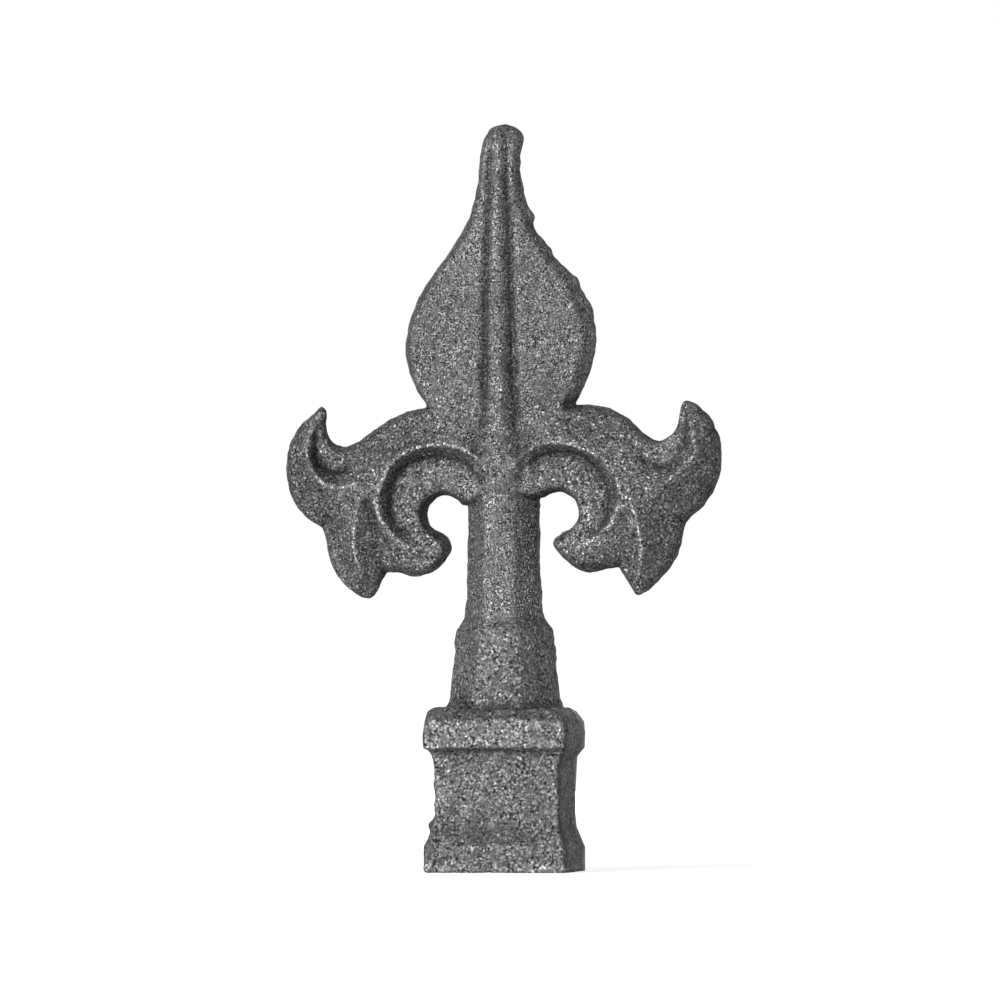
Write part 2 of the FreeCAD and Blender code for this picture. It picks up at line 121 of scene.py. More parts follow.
# How far each place is from the nearest of some short runs
def nearestRun(runs, reach=5.0):
    nearest = np.full(gridX.shape, reach ** 2)
    cells = int(reach / mapStep)
    for ax, az, bx, bz in runs:
        i = int(((ax + bx) / 2 - mapX[0]) / mapStep)
        k = int(((az + bz) / 2 - mapZ[0]) / mapStep)
        window = (slice(max(i - cells, 0), i + cells), slice(max(k - cells, 0), k + cells))
        x, z = gridX[window] - ax, gridZ[window] - az
        dx, dz = bx - ax, bz - az
        along = np.clip((x * dx + z * dz) / max(dx * dx + dz * dz, 1e-9), 0, 1)
        nearest[window] = np.minimum(nearest[window], (x - along * dx) ** 2 + (z - along * dz) ** 2)
    return np.sqrt(nearest)


def smoothMax(a, b, blend):
    near = np.maximum(blend - np.abs(a - b), 0) / blend
    return np.maximum(a, b) + near ** 2 * blend / 4


def soften(field, sigma, axes):
    reach = max(1, int(3 * max(sigma) + 0.5))
    for axis, width in zip(axes, sigma):
        weights = np.exp(-0.5 * (np.arange(-reach, reach + 1) / width) ** 2)
        weights /= weights.sum()
        total = np.zeros_like(field)
        for shift, weight in zip(range(-reach, reach + 1), weights):
            index = np.clip(np.arange(field.shape[axis]) + shift, 0, field.shape[axis] - 1)
            total += weight * np.take(field, index, axis=axis)
        field = total
    return field


# A column of a table at any heights; each of its rows starts with its height
def levels(table, height, column=1):
    rows = np.array(sorted(table), dtype=float)
    return np.interp(height, rows[:, 0], rows[:, column])


def nearestCells(x, z):
    i = np.rint((x - mapX[0]) / mapStep).astype(int)
    k = np.rint((z - mapZ[0]) / mapStep).astype(int)
    return i, k


def readMap(flat, x, z):
    i, k = nearestCells(x, z)
    return flat[np.clip(i, 0, len(mapX) - 1), np.clip(k, 0, len(mapZ) - 1)]


# Smooth noise, one value to each cell of this width
def lumps(rng, shape, step, cell):
    counts = [int(math.ceil(n * s / cell)) + 3 for n, s in zip(shape, step)]
    noise = rng.standard_normal(counts).astype(np.float32)
    for axis, (n, s) in enumerate(zip(shape, step)):
        place = np.arange(n) * s / cell
        low = place.astype(int)
        share = place - low
        share = (share * share * (3 - 2 * share)).astype(np.float32)
        view = [1, 1, 1]
        view[axis] = n
        share = share.reshape(view)
        noise = np.take(noise, low, axis=axis) * (1 - share) + np.take(noise, low + 1, axis=axis) * share
    return noise


# The relief's height is a skin stretched between the drawn lines, coarse cells first;
# each round has the cells taken together and the turns of smoothing
def stretchSkin(total, count, rounds=((8, 400), (4, 300), (2, 200), (1, 160))):
    skin = None
    for factor, turns in rounds:
        size = [-(-n // factor) for n in total.shape]
        padded = [(0, s * factor - n) for s, n in zip(size, total.shape)]
        shape = (size[0], factor, size[1], factor)
        held = np.pad(count, padded).reshape(shape).sum(axis=(1, 3))
        value = np.pad(total, padded).reshape(shape).sum(axis=(1, 3)) / np.maximum(held, 1)
        if skin is None:
            skin = np.full(size, total.sum() / count.sum())
        else:
            skin = np.repeat(np.repeat(skin, 2, axis=0), 2, axis=1)[:size[0], :size[1]]
        for _ in range(turns):
            skin = np.where(held > 0, value, skin)
            wide = np.pad(skin, 1, mode="edge")
            skin = (wide[:-2, 1:-1] + wide[2:, 1:-1] + wide[1:-1, :-2] + wide[1:-1, 2:]) / 4
        skin = np.where(held > 0, value, skin)
    return skin


leaf = {
    "left": [  # from the tip down, distances to the left
        (-0.1, 130), (2.1, 129.4), (3.3, 127.6), (3.9, 125.4), (4.3, 122.2), (4.8, 118.4), (6.1, 113.6),
        (8.8, 108.8), (12, 104.4), (14.7, 100.1), (16.4, 96), (17.1, 91.8), (16.8, 88), (15.7, 84.8),
        (13.6, 81.6), (10.5, 78), (7, 72), (4.6, 66)],
    "right": [  # the same on the right
        (0.1, 130), (2.3, 129.4), (3.4, 127.8), (2.9, 125.4), (2.8, 123.2), (3.1, 119.2), (4.5, 114.8),
        (5, 112.6), (6.1, 110.5), (7.9, 108.4), (9.2, 106.3), (11.4, 104.3), (14.3, 100.1), (15.6, 97),
        (16.2, 93), (15.8, 89.4), (14.8, 86), (13.1, 82.6), (10.5, 78.6), (7, 72), (4.6, 66)],
    "lean": [  # height, and how far its rib stands to the right
        (130, -0.3), (124, -0.5), (118, -0.6), (104, -0.5), (96, -0.35), (88, -0.25), (78, -0.1), (60, 0)],
    # Mid-rib: height, half thickness at its crest, then for the left and for the right the
    # groove's distance and fall, and the distance and rise of the blade's brink beyond it
    "rib": [
        (129.6, 1.6, 1.4, 0.2, 2, 0.1, 0.5, 0.3, 1, 0.1),
        (127, 3.1, 1.6, 0.8, 2.3, 0.5, 1.2, 1, 1.9, 0.6),
        (119.5, 3.9, 1.6, 1.1, 2.4, 0.7, 1.55, 1.3, 2.2, 0.9),
        (111.5, 4.35, 1.8, 1.2, 2.65, 0.75, 2.2, 1.5, 2.9, 0.9),
        (96.5, 4.9, 2.25, 1.2, 3.35, 0.8, 2.35, 1.6, 3.25, 0.9),
        (88, 5.25, 2.35, 1.25, 3.45, 0.75, 2.4, 1.7, 3.5, 0.9),
        (80, 5.9, 2.5, 1, 3.7, 0.5, 2.8, 1.65, 4, 0.75),
        (75, 6.4, 2.9, 0.7, 4.1, 0.2, 3.3, 1.3, 4.6, 0.4),
        (70, 6.7, 3.1, 0.6, 4.3, 0, 3.7, 1, 4.9, 0),
        (64, 6.8, 3.2, 0.6, 4.4, 0, 3.9, 1, 4.9, 0)],
    "ribFoot": 62,
    "ribTop": 129.4,
    "ribStations": 140,
    "grooveFoot": 69,
    "leftShoulder": (0.66, 0.18),  # shares of the groove's distance and fall at which the
    "rightShoulder": (0.3, 0.13),  # rib's shoulder lies
    "flash": [  # crumbs of metal on its edge: distance from the axis, height, size, radius
        (3.5, 119.8, 0.28, 0.6), (5.4, 113.8, 0.4, 0.6), (8.3, 108.6, 0.3, 0.6), (12.9, 103.2, 0.25, 0.6),
        (-5.2, 115.6, 0.25, 0.6), (-12.6, 79.9, 0.5, 1.2), (12.6, 79.9, 0.4, 1.1)],
    "raggedFrom": 92,  # the right edge between these heights wavers fully,
    "raggedTo": 120,
    "smoothShare": 0.4,  # and all other edges by this share
    "edgeLight": 0.22,  # painted light: how much lighter its sloping side is
    "edgeLit": [(118, 0), (110, 1), (86, 1), (80, 0)],  # height, and how much shows
    # Height, and how wide the sloping side is on the left and on the right; the petals
    # take the lowest row
    "draft": [
        (120, 0.8, 0.8), (112, 1.1, 0.9), (105, 1.25, 1.1), (99, 1.3, 2), (86, 1.3, 2), (79, 0.8, 0.8)],
    "blunt": [(86, 0.35), (79, 0.5)],  # height, and share of the thickness left at the rim
    "edge": [  # height, and half thickness at the outline
        (129.8, 1.4), (127, 2.4), (115, 3), (106, 3.4), (93, 3.9), (84, 4.6), (76, 5.4)],
}

# Lines of each petal: the scroll's raised rim (ridge), the foot of the wall inside it,
# the sunken scroll's middle, the hook's crest and its hollow (scoop), the crest of the
# hanging lobe (drop), the valley beside it, the groove at the notch and the lip's
# shoulder. Worn: a line, its first and last point, and how brightly it is rubbed.
leftPetal = {
    "outline": [
        (6, 77), (9.5, 80.2), (12.2, 80.5), (14.2, 80.45), (16.5, 80.1), (19.5, 78.8), (22.3, 77.1),
        (25.3, 75), (27.7, 74), (30, 74.5), (31, 76.2), (31.2, 78), (31.1, 79.6), (31.4, 80.5),
        (32.4, 80.7), (34, 79.2), (35.6, 77.5), (37.3, 74.8), (38.1, 71.2), (38, 68.2), (37.1, 64.9),
        (35.4, 62.3), (33.3, 60.6), (31.8, 59.7), (31.8, 59.7), (31.3, 58.2), (30.8, 55.6), (29.8, 52.7),
        (28, 50.1), (25.7, 48.1), (24, 47.5), (23, 47.9), (21.9, 49.6), (20.7, 52.3), (20.7, 52.3),
        (18, 52), (16, 51.6), (13.9, 51.8), (11.8, 52.8), (10.6, 54.2), (9.7, 55.4), (9.5, 56.9),
        (10.1, 58.1), (10.8, 58.5), (10.8, 58.5), (8.4, 62.6), (7.3, 63.9), (7.3, 63.9), (5, 64.2),
        (5, 64.2), (3, 67.5)],
    "eye": (10.2, 62.1, 3.4),
    "ridge": [
        (1.9, 69.3, 6.9), (3.2, 71.2, 7.2), (5.5, 73.1, 7.4), (7.9, 73.9, 7.6), (10.8, 74.3, 7.6),
        (14.4, 73.6, 7.6), (17.4, 72.1, 7.6), (19.5, 69.7, 7.6), (20.7, 66.8, 7.6), (21.3, 64.7, 7.6),
        (21.1, 62.5, 7.4), (20.2, 60.5, 7.1), (18.7, 58.7, 6.7), (16.9, 57, 6.2), (14.6, 55.8, 5.6)],
    "wallFoot": [
        (2.9, 67.6, 5.2), (5.4, 70.4, 4.7), (8.2, 71.6, 4.5), (11.7, 72, 4.4), (14.6, 71.4, 4.4),
        (16.8, 70.2, 4.4), (18.3, 68.4, 4.4), (19, 66.2, 4.4), (19.2, 64.3, 4.4), (18.9, 61.8, 4.4),
        (17.6, 59.9, 4.6), (15.7, 58.1, 4.8), (14, 57, 5)],
    "scrollMid": [
        (5, 66.8, 5.3), (8, 68.4, 5), (11.6, 68.6, 4.8), (14.4, 67, 4.8), (15.8, 64.1, 4.8),
        (15.4, 61.1, 4.8), (13.6, 58.6, 4.8), (11.8, 56.4, 4.6)],
    "hookCrest": [
        (32, 80, 1.3), (32.6, 78, 2.4), (33.8, 75.3, 3.9), (34, 73.2, 4.8), (33.3, 70.7, 5.5),
        (32.2, 68.9, 6), (30.9, 67.6, 6.3), (29.4, 66.9, 6.6), (27, 66.8, 7), (24.6, 67.7, 7.3)],
    "scoopFoot": [
        (32.1, 78.9, 1.1), (32.5, 76.5, 2), (32.6, 74.3, 2.4), (32.4, 72.2, 2.7), (31.7, 70.7, 3.1),
        (30.6, 69.9, 3.5), (28.4, 69.5, 4), (26.6, 70.9, 4.6)],
    "scoopBrink": [(32, 69.7, 4.9), (30.6, 69, 5), (28.5, 68.6, 5.3), (26.2, 69.8, 5.8)],
    "scoopMid": [(31.6, 76, 2.4), (30.2, 73.4, 3), (28.2, 71.8, 3.6)],
    "dropCrest": [
        (23.2, 66.6, 7.4), (24.2, 64.6, 7.5), (25.3, 60, 7.3), (25.5, 57.2, 6.7), (25.1, 54.7, 5.8),
        (24.6, 52.1, 4.6), (23.7, 48.8, 1.8)],
    "valley": [
        (22.9, 64.8, 6.6), (22.4, 62, 5.4), (22, 58.5, 4.6), (21.4, 55.2, 3.5), (20.9, 52.6, 2.4)],
    "notchGroove": [(31.4, 60.1, 2.4), (30.2, 61.4, 4.2), (29.2, 62.5, 5)],
    "lipShoulder": [(10.6, 56.2, 4.5), (12.8, 54.3, 4.6), (14.8, 53.3, 4.6), (17.8, 53.3, 4.5)],
    "worn": [
        ("ridge", 1, 14, 0.8), ("ridge", 8, 15, 1), ("hookCrest", 0, 10, 1),
        ("dropCrest", 2, 6, 0.6)],
}
rightPetal = {
    "outline": [
        (6, 77.5), (9, 80.3), (12, 80.9), (14.7, 81.1), (16.8, 80.9), (19, 80.2), (21.4, 79.2), (22.6, 78),
        (24.4, 76.5), (26.2, 75.2), (27.7, 75), (29.3, 75.9), (30.4, 77.4), (30.7, 79.4), (31.1, 81.4),
        (31.9, 82), (32.9, 81.7), (34, 81), (36, 78.8), (37.5, 75.7), (38, 72.8), (37.7, 69.2),
        (36.6, 66.3), (34.9, 63.6), (32.9, 61.8), (31.8, 60.7), (31.8, 60.7), (31.2, 58.2), (30.5, 55.6),
        (29.1, 53), (27, 50.6), (24.7, 48.5), (23.3, 48), (22.4, 49.2), (21.4, 51.2), (20.2, 53.1),
        (20.2, 53.1), (18.3, 52.8), (15.6, 52.2), (12.8, 52.8), (10.5, 54.6), (8.9, 56.6), (8.9, 57.6),
        (9.6, 58.2), (10.4, 58.4), (10.4, 58.4), (8.4, 63), (7.2, 65.1), (7.2, 65.1), (5, 65.3), (5, 65.3),
        (3, 67.5)],
    "eye": (9.7, 62.5, 3.62),
    "ridge": [
        (1.9, 69.5, 6.6), (3.6, 72, 7), (6.4, 74, 7.4), (9.6, 74.6, 7.6), (13.3, 73.9, 7.6),
        (16.3, 72.8, 7.6), (18.8, 71, 7.6), (20.4, 68.6, 7.6), (21, 66, 7.6), (20.9, 63.8, 7.5),
        (20, 61.2, 7.2), (18.1, 59, 6.7), (15.7, 57.4, 5.9), (13.6, 56.4, 5.3)],
    "wallFoot": [
        (3.1, 68.2, 5.2), (5.1, 70.8, 4.7), (8, 72.3, 4.5), (11.6, 72.8, 4.5), (14.5, 71.9, 4.4),
        (16.5, 70.1, 4.4), (17.9, 68.2, 4.4), (18.6, 66, 4.4), (18.7, 64, 4.4), (18.2, 61.5, 4.6),
        (16.6, 59.4, 4.8), (14.4, 58.2, 5)],
    "scrollMid": [
        (5, 67.4, 5.3), (7.6, 69.2, 5.2), (11.2, 69.6, 5.2), (14.2, 67.8, 5.2), (15.9, 65, 5.2),
        (15.9, 62.2, 5.2), (14.2, 59.2, 5.1), (11.6, 56.8, 4.8)],
    "hookCrest": [
        (31.9, 81, 1.3), (32.9, 78, 3), (33.8, 75.5, 4.2), (34.3, 73.4, 4.9), (33.6, 72, 5.3),
        (32.4, 70.9, 5.6), (31.2, 69.5, 6), (30, 68.5, 6.3), (28.2, 67.3, 6.7), (25.6, 66.4, 7.1)],
    "scoopFoot": [
        (31.8, 79.4, 1.2), (32.1, 77, 2.1), (31.9, 75, 2.7), (31.3, 73.6, 3.1), (30.2, 71.8, 3.5),
        (28.5, 70.6, 3.9), (26, 71.3, 4.4), (23.4, 72.5, 5.2)],
    "scoopBrink": [(31.3, 71.2, 4.7), (28.8, 69.6, 5), (25.7, 70.5, 5.6), (22.9, 71.6, 6.5)],
    "scoopMid": [(31.2, 77.4, 2.3), (30.2, 74.4, 3.1), (28, 72.8, 3.7)],
    "dropCrest": [
        (22.6, 66.4, 7.4), (23.6, 63.4, 7.5), (24.2, 61.5, 7.45), (24.5, 59.4, 7.3), (24.9, 57.5, 6.8),
        (24.95, 56, 6.3), (24.5, 53.9, 5.2), (24.1, 51.8, 4), (23.4, 49, 1.9)],
    "valley": [
        (22, 64.2, 7.2), (21.9, 62, 6.7), (21.6, 58.4, 5.8), (21.1, 55, 4.5), (20.4, 53.2, 2.8)],
    "notchGroove": [(31.5, 61.1, 2.4), (30.2, 62.2, 4.1), (29.2, 63.2, 4.9)],
    "lipShoulder": [(10.4, 56.2, 4.6), (13, 54.7, 4.9), (14.8, 54.1, 5), (17.6, 54.3, 4.9)],
    "worn": [
        ("ridge", 2, 6, 0.35), ("ridge", 9, 12, 0.9), ("ridge", 11, 14, 0.3), ("hookCrest", 1, 9, 0.6),
        ("dropCrest", 1, 4, 0.5), ("dropCrest", 3, 8, 1), ("lipShoulder", 2, 4, 0.3)],
}
petalLines = (
    "ridge", "wallFoot", "scrollMid", "hookCrest", "scoopFoot", "scoopBrink", "scoopMid", "dropCrest",
    "valley", "notchGroove", "lipShoulder")
petalEdges = {  # half thickness at the petals' outline, before its slope
    "side": 3.2,
    "tip": 1.4,  # at the hook's and the lobe's tips
    "inner": 4.4,  # under the lip and on the arm near the leaf
    "eye": 4.9,  # around the round gap
    "eyePoints": 90,
    "tips": ((32.0, 81.5), (23.5, 48.0)),
    "innerFrom": 17.0,  # distance from the axis at which the inner one starts
    "fade": 5.0,  # length over which they run into each other
}
# Painted shade on the carving's steep walls and round the round gaps, painted light on the leaf's sloping
# rim, and how far the worn lines spread
carvingShadeLightAndWear = {
    "wallSlope": 0.75,  # slope at which a side starts to count as a wall of the carving
    "wallRange": 0.6,  # and how much steeper a full wall is
    "wallTop": 84.0,  # no walls above this height
    "wallBlur": 1.2,  # cells
    "eyeRim": 1.3,  # width of the wall around the round gap
    "eyeRimFull": 1.35,
    "rimFull": 1.25,  # how fully the leaf's sloping side counts at its rim for the painted light there
    "wornBlur": 1.0,  # cells
}
sides = ((leftPetal, -1), (rightPetal, 1))


# The outlines of the leaf, the petals and the round gaps, and the thickness along each
def drawForms():
    left = drawLine([(-x, z) for x, z in leaf["left"]])
    right = drawLine(leaf["right"])
    blade = np.vstack([right, left[::-1]])
    forms = [("leaf", blade, levels(leaf["edge"], blade[:, 1]))]
    eyes = []
    for petal, sign in sides:
        outline = drawLine(petal["outline"], closed=True) * (sign, 1)
        toTips = [np.hypot(outline[:, 0] - sign * x, outline[:, 1] - z) for x, z in petalEdges["tips"]]
        fromTip = np.clip(np.minimum(*toTips) / petalEdges["fade"], 0, 1)
        edge = petalEdges["tip"] + (petalEdges["side"] - petalEdges["tip"]) * fromTip
        inner = np.clip((petalEdges["innerFrom"] - np.abs(outline[:, 0])) / petalEdges["fade"], 0, 1)
        forms.append(("petal", outline, edge + inner * (petalEdges["inner"] - edge)))
        eyeX, eyeZ, radius = petal["eye"]
        around = np.linspace(0, math.tau, petalEdges["eyePoints"], endpoint=False)
        rim = np.column_stack([sign * (eyeX + radius * np.cos(around)), eyeZ + radius * np.sin(around)])
        eyes.append(("eye", rim, np.full(len(rim), petalEdges["eye"])))
    return forms + eyes


# Presses a line into the map: its height, and how worn it is
def press(relief, line, wear=0.0):
    ends = line[1:] - line[:-1]
    steps = np.ceil(np.hypot(ends[:, 0], ends[:, 1]) / (mapStep * 0.5))
    steps = np.maximum(1, steps).astype(int)
    dense = np.vstack([a + (b - a) * np.linspace(0, 1, n, endpoint=False)[:, None]
                       for a, b, n in zip(line[:-1], line[1:], steps)])
    i, k = nearestCells(dense[:, 0], dense[:, 1])
    fits = (i >= 0) & (i < len(mapX)) & (k >= 0) & (k < len(mapZ))
    i, k, dense = i[fits], k[fits], dense[fits]
    np.add.at(relief["total"], (i, k), dense[:, 2])
    np.add.at(relief["count"], (i, k), 1)
    relief["worn"][i, k] = np.maximum(relief["worn"][i, k], wear)


# A run of an outline counts only where no other form covers it
def pressOutlines(relief, forms, masks, metal):
    runs = {"leaf": [], "petal": [], "eye": []}
    for number, (kind, outline, edge) in enumerate(forms):
        after = np.roll(outline, -1, axis=0)
        x, z = ((outline + after) / 2).T
        hidden = (np.abs(x) < levels(casting["stemCover"], z)) & (z < casting["coverTop"])
        for other, mask in enumerate(masks):
            if other != number and (kind != "eye" or forms[other][0] == "eye"):
                hidden |= readMap(mask, x, z)
        if kind == "eye":
            hidden |= ~readMap(metal, x, z)
        for k in np.nonzero(~hidden)[0]:
            ahead = (k + 1) % len(outline)
            if math.dist(outline[k], outline[ahead]) < casting["longestRun"]:
                runs[kind].append((*outline[k], *outline[ahead]))
                press(relief, np.array([[*outline[k], edge[k]], [*outline[ahead], edge[ahead]]]))
    return runs


# Mid-rib, the grooves beside it and the blade's inner brinks
def pressLeaf(relief):
    z = np.linspace(leaf["ribFoot"], leaf["ribTop"], leaf["ribStations"])
    lean = levels(leaf["lean"], z)
    crest = levels(leaf["rib"], z)
    press(relief, np.column_stack([lean, z, crest]))
    grooved = z > leaf["grooveFoot"]
    for sign, first, shoulder in ((-1, 2, leaf["leftShoulder"]), (1, 6, leaf["rightShoulder"])):
        out, fall, far, rise = (levels(leaf["rib"], z, first + k) for k in range(4))
        rising = (out * shoulder[0], crest - fall * shoulder[1])
        for across, deep in (rising, (out, crest - fall), (far, crest - fall + rise)):
            press(relief, np.column_stack([lean + sign * across, z, deep])[grooved])


def pressPetals(relief):
    for petal, sign in sides:
        for part in petalLines:
            press(relief, drawLine(petal[part]) * (sign, 1, 1))
        for part, first, last, wear in petal["worn"]:
            press(relief, drawLine(petal[part][first:last]) * (sign, 1, 1), wear)


def buildRelief():
    relief = {name: np.zeros(gridX.shape) for name in ("total", "count", "worn")}
    forms = drawForms()
    masks = [insideMask(outline) for _, outline, _ in forms]
    metal = masks[0] | masks[1] | masks[2]  # leaf and petals,
    solid = metal & ~(masks[3] | masks[4])  # less the round gaps
    runs = pressOutlines(relief, forms, masks, metal)
    pressLeaf(relief)
    pressPetals(relief)
    blur = (casting["reliefSoftness"] / mapStep,) * 2
    skin = soften(stretchSkin(relief["total"], relief["count"]), blur, (0, 1))

    # How far inside the rough cast edge each place is
    gap = {kind: nearestRun(some) for kind, some in runs.items()}
    inside = np.minimum(np.minimum(gap["leaf"], gap["petal"]), gap["eye"])
    inside = np.where(solid, inside, -inside)
    for x, z, size, radius in leaf["flash"]:
        inside += size * np.exp(-((gridX - x) ** 2 + (gridZ - z) ** 2) / radius ** 2)
    ragged = (gridX > 0) & (gridZ > leaf["raggedFrom"]) & (gridZ < leaf["raggedTo"])
    waver = lumps(np.random.default_rng(casting["waverSeed"]), (*gridX.shape, 1), (mapStep,) * 3,
                  casting["waverWidth"])[:, :, 0]
    inside += casting["edgeWaver"] * np.where(ragged, 1.0, leaf["smoothShare"]) * waver

    # Sloping sides
    draft = np.where(gridX < 0, levels(leaf["draft"], gridZ, 1), levels(leaf["draft"], gridZ, 2))
    slope = np.clip(inside / draft, 0, 1)
    blunt = levels(leaf["blunt"], gridZ)
    half = np.where(inside > 0, skin * (blunt + (1 - blunt) * slope), inside * casting["fallOutside"])
    half = soften(half, blur, (0, 1))
    # Painted light on the leaf's sloping sides
    rim = np.clip(carvingShadeLightAndWear["rimFull"] * (1 - inside / draft), 0, 1) * levels(leaf["edgeLit"], gridZ)

    # Walls of the carving and the rims of the round gaps, painted darker in the color as painted shade
    blur = (carvingShadeLightAndWear["wallBlur"],) * 2
    riseX, riseZ = np.gradient(soften(skin, blur, (0, 1)), mapStep)
    wallShade = np.clip((np.hypot(riseX, riseZ) - carvingShadeLightAndWear["wallSlope"]) / carvingShadeLightAndWear["wallRange"], 0, 1)
    roundGap = np.clip(carvingShadeLightAndWear["eyeRimFull"] - gap["eye"] / carvingShadeLightAndWear["eyeRim"], 0, 1) * solid
    wallShade = np.maximum(wallShade, roundGap) * (gridZ < carvingShadeLightAndWear["wallTop"])
    worn = soften(relief["worn"], (carvingShadeLightAndWear["wornBlur"],) * 2, (0, 1))
    return half, worn / worn.max(), soften(wallShade, blur, (0, 1)), rim


print("stretching the relief")
reliefHalf, wornMap, wallShadeMap, rimLightMap = buildRelief()
print("relief", reliefHalf.shape, float(reliefHalf.max()))

base = {
    "profile": [  # height, reach to the left, to the right, and to the front and back
        (0, 12, 12, 12.1), (0.25, 12.25, 12.3, 12.3), (0.6, 12.42, 12.52, 12.43), (4.5, 12.45, 12.6, 12.5),
        (5.1, 12.2, 12.35, 12.25), (5.8, 11.85, 12.1, 11.95), (6.6, 11.6, 11.75, 11.65),
        (7.6, 11.2, 11.4, 11.3), (8.8, 10.85, 11.2, 11.05), (10, 10.75, 11.15, 10.95),
        (18.9, 10.75, 11.15, 10.95), (19.8, 10.85, 11.4, 11.05), (20.5, 11.05, 11.8, 11.3),
        (21.15, 11.6, 12.15, 11.65), (21.7, 12.4, 12.4, 12.5), (22.3, 12.5, 12.52, 12.5),
        (23.8, 12.5, 12.62, 12.5), (24.8, 12.45, 12.58, 12.5), (25.5, 12.4, 12.5, 12.5),
        (26.2, 12.35, 12.4, 12.45), (26.8, 12.3, 12.2, 12.1), (27.4, 12.25, 11.9, 11.65),
        (27.8, 12.15, 11.5, 11.3), (28.2, 12, 11, 11), (28.5, 11.6, 10.5, 10.7), (28.8, 10.8, 9.9, 10.3),
        (29.1, 9.6, 9.6, 9.9)],
    "corner": [  # height, corner radius
        (0, 0.4), (4.5, 0.35), (6, 0.6), (8, 0.7), (10, 0.3), (18, 0.3), (21, 0.7), (26, 0.9), (28.4, 2.2),
        (31, 3)],
    "top": 28.05,  # height of its top at this distance from the axis,
    "topAt": 9.8,
    "topRise": 0.2,  # from where it rises by this share towards the corners
    "socket": 7.25,  # half width of the bar's socket
    "socketDepth": 22,
}
stem = {
    "profile": [  # height, half width
        (26, 10.5), (28.4, 10.2), (29.2, 9.75), (30.1, 9.5), (31.6, 9.25), (33.2, 9.05), (36.3, 8.82),
        (37.9, 8.7), (41, 8.45), (42.3, 8.05), (43.4, 7.3), (44.1, 6.85), (45.7, 6.65), (47.3, 6.45),
        (50.7, 6.28), (58, 6.15), (66, 6.15), (72, 5.9), (80, 4.9), (86, 3)],
    "foot": 25,
    "top": 90,
    "facets": 0.6,  # 0 is round, 1 a sharp octagon
    "aside": [(28, 0.2), (42, 0.2), (46, 0)],  # height, and how far it sits to the right
}
marks = [  # small lumps, and pits where the last number is negative: place, radius, height
    (-11.8, -9.4, 8.4, 1.3, 1), (-12.3, -10.6, 7.4, 0.6, -0.5), (6.5, -0.8, 51.1, 0.8, 0.25),
    (8.5, -0.8, 42, 0.8, 0.4), (8.9, -0.8, 38.4, 0.8, 0.4), (9.3, -0.8, 34.8, 0.8, 0.35),
    (-6.4, -5, 43.2, 0.5, -0.3), (-5.6, -5.6, 42.7, 0.5, -0.3), (3.3, -5, 79.8, 0.5, -0.45),
    (-9.1, -4.2, 98, 0.5, -0.35), (-12.4, -4, 23.8, 1, 0.2), (12.5, 1, 24.5, 2, 0.25),
    (31.1, -5.4, 68.5, 0.5, 0.25), (32, -5.2, 67.6, 0.4, 0.25), (29.8, -5.8, 68.9, 0.5, 0.2),
]


# The casting is a field over a grid, above zero where there is metal
step = np.array([casting["gridStep"], casting["gridDepth"], casting["gridStep"]])
origin = lowCorner - casting["margin"]
gridCells = np.ceil((highCorner + casting["margin"] - origin) / step).astype(int) + 1
axes = [origin[a] + step[a] * np.arange(gridCells[a]) for a in range(3)]


# The flat map's thickness on both sides of the middle plane
def growRelief():
    x, y, z = axes
    fx = np.clip((x - mapX[0]) / mapStep, 0, len(mapX) - casting["lastCell"])
    fz = np.clip((z - mapZ[0]) / mapStep, 0, len(mapZ) - casting["lastCell"])
    i, k = fx.astype(int), fz.astype(int)
    u, w = (fx - i)[:, None], (fz - k)[None, :]
    half = ((1 - u) * (1 - w) * reliefHalf[np.ix_(i, k)] + u * (1 - w) * reliefHalf[np.ix_(i + 1, k)]
            + (1 - u) * w * reliefHalf[np.ix_(i, k + 1)] + u * w * reliefHalf[np.ix_(i + 1, k + 1)])
    gradX, gradZ = np.gradient(half, step[0], step[2])
    slope = np.sqrt(1 + np.minimum(gradX ** 2 + gradZ ** 2, casting["steepest"] ** 2))
    field = (half[:, None, :] - np.abs(y)[None, :, None]) / slope[:, None, :]
    return np.where(z < casting["reliefFoot"], casting["farOutside"], field).astype(np.float32)


# A soft octagon in section
def growStem(x, y, z):
    across = np.abs(x - levels(stem["aside"], z))
    deep = np.abs(y)
    facets = np.maximum(np.maximum(across, deep), (across + deep) / math.sqrt(2))
    field = levels(stem["profile"], z) - facets * stem["facets"]
    field = field - np.hypot(across, deep) * (1 - stem["facets"])
    beyond = (z > stem["top"]) | (z < stem["foot"])
    return np.where(beyond, casting["farOutside"], field.astype(np.float32))


# Squares with rounded corners, stacked up
def growBase(x, y, z):
    left, right, depth = (levels(base["profile"], z, k) for k in (1, 2, 3))
    width, aside = (left + right) / 2, (right - left) / 2
    corner = levels(base["corner"], z)
    tilt = np.sqrt(1 + np.gradient(depth, step[2], axis=2) ** 2)
    inX = np.abs(x - aside) - (width - corner)
    inY = np.abs(y) - (depth - corner)
    outside = np.sqrt(np.maximum(inX, 0) ** 2 + np.maximum(inY, 0) ** 2)
    square = outside + np.minimum(np.maximum(inX, inY), 0) - corner
    field = (-square / tilt).astype(np.float32)
    rise = base["topRise"] * (np.hypot(x, y) - base["topAt"])
    return np.minimum(field, base["top"] + rise - z).astype(np.float32)


def growCasting():
    x, y, z = np.ix_(*axes)
    field = smoothMax(growRelief(), growStem(x, y, z), casting["skinBlend"])
    field = smoothMax(field, growBase(x, y, z), casting["skinBlend"])
    field = soften(field, casting["castRounding"] / step, (0, 1, 2))
    return np.minimum(field, z - footZ).astype(np.float32)


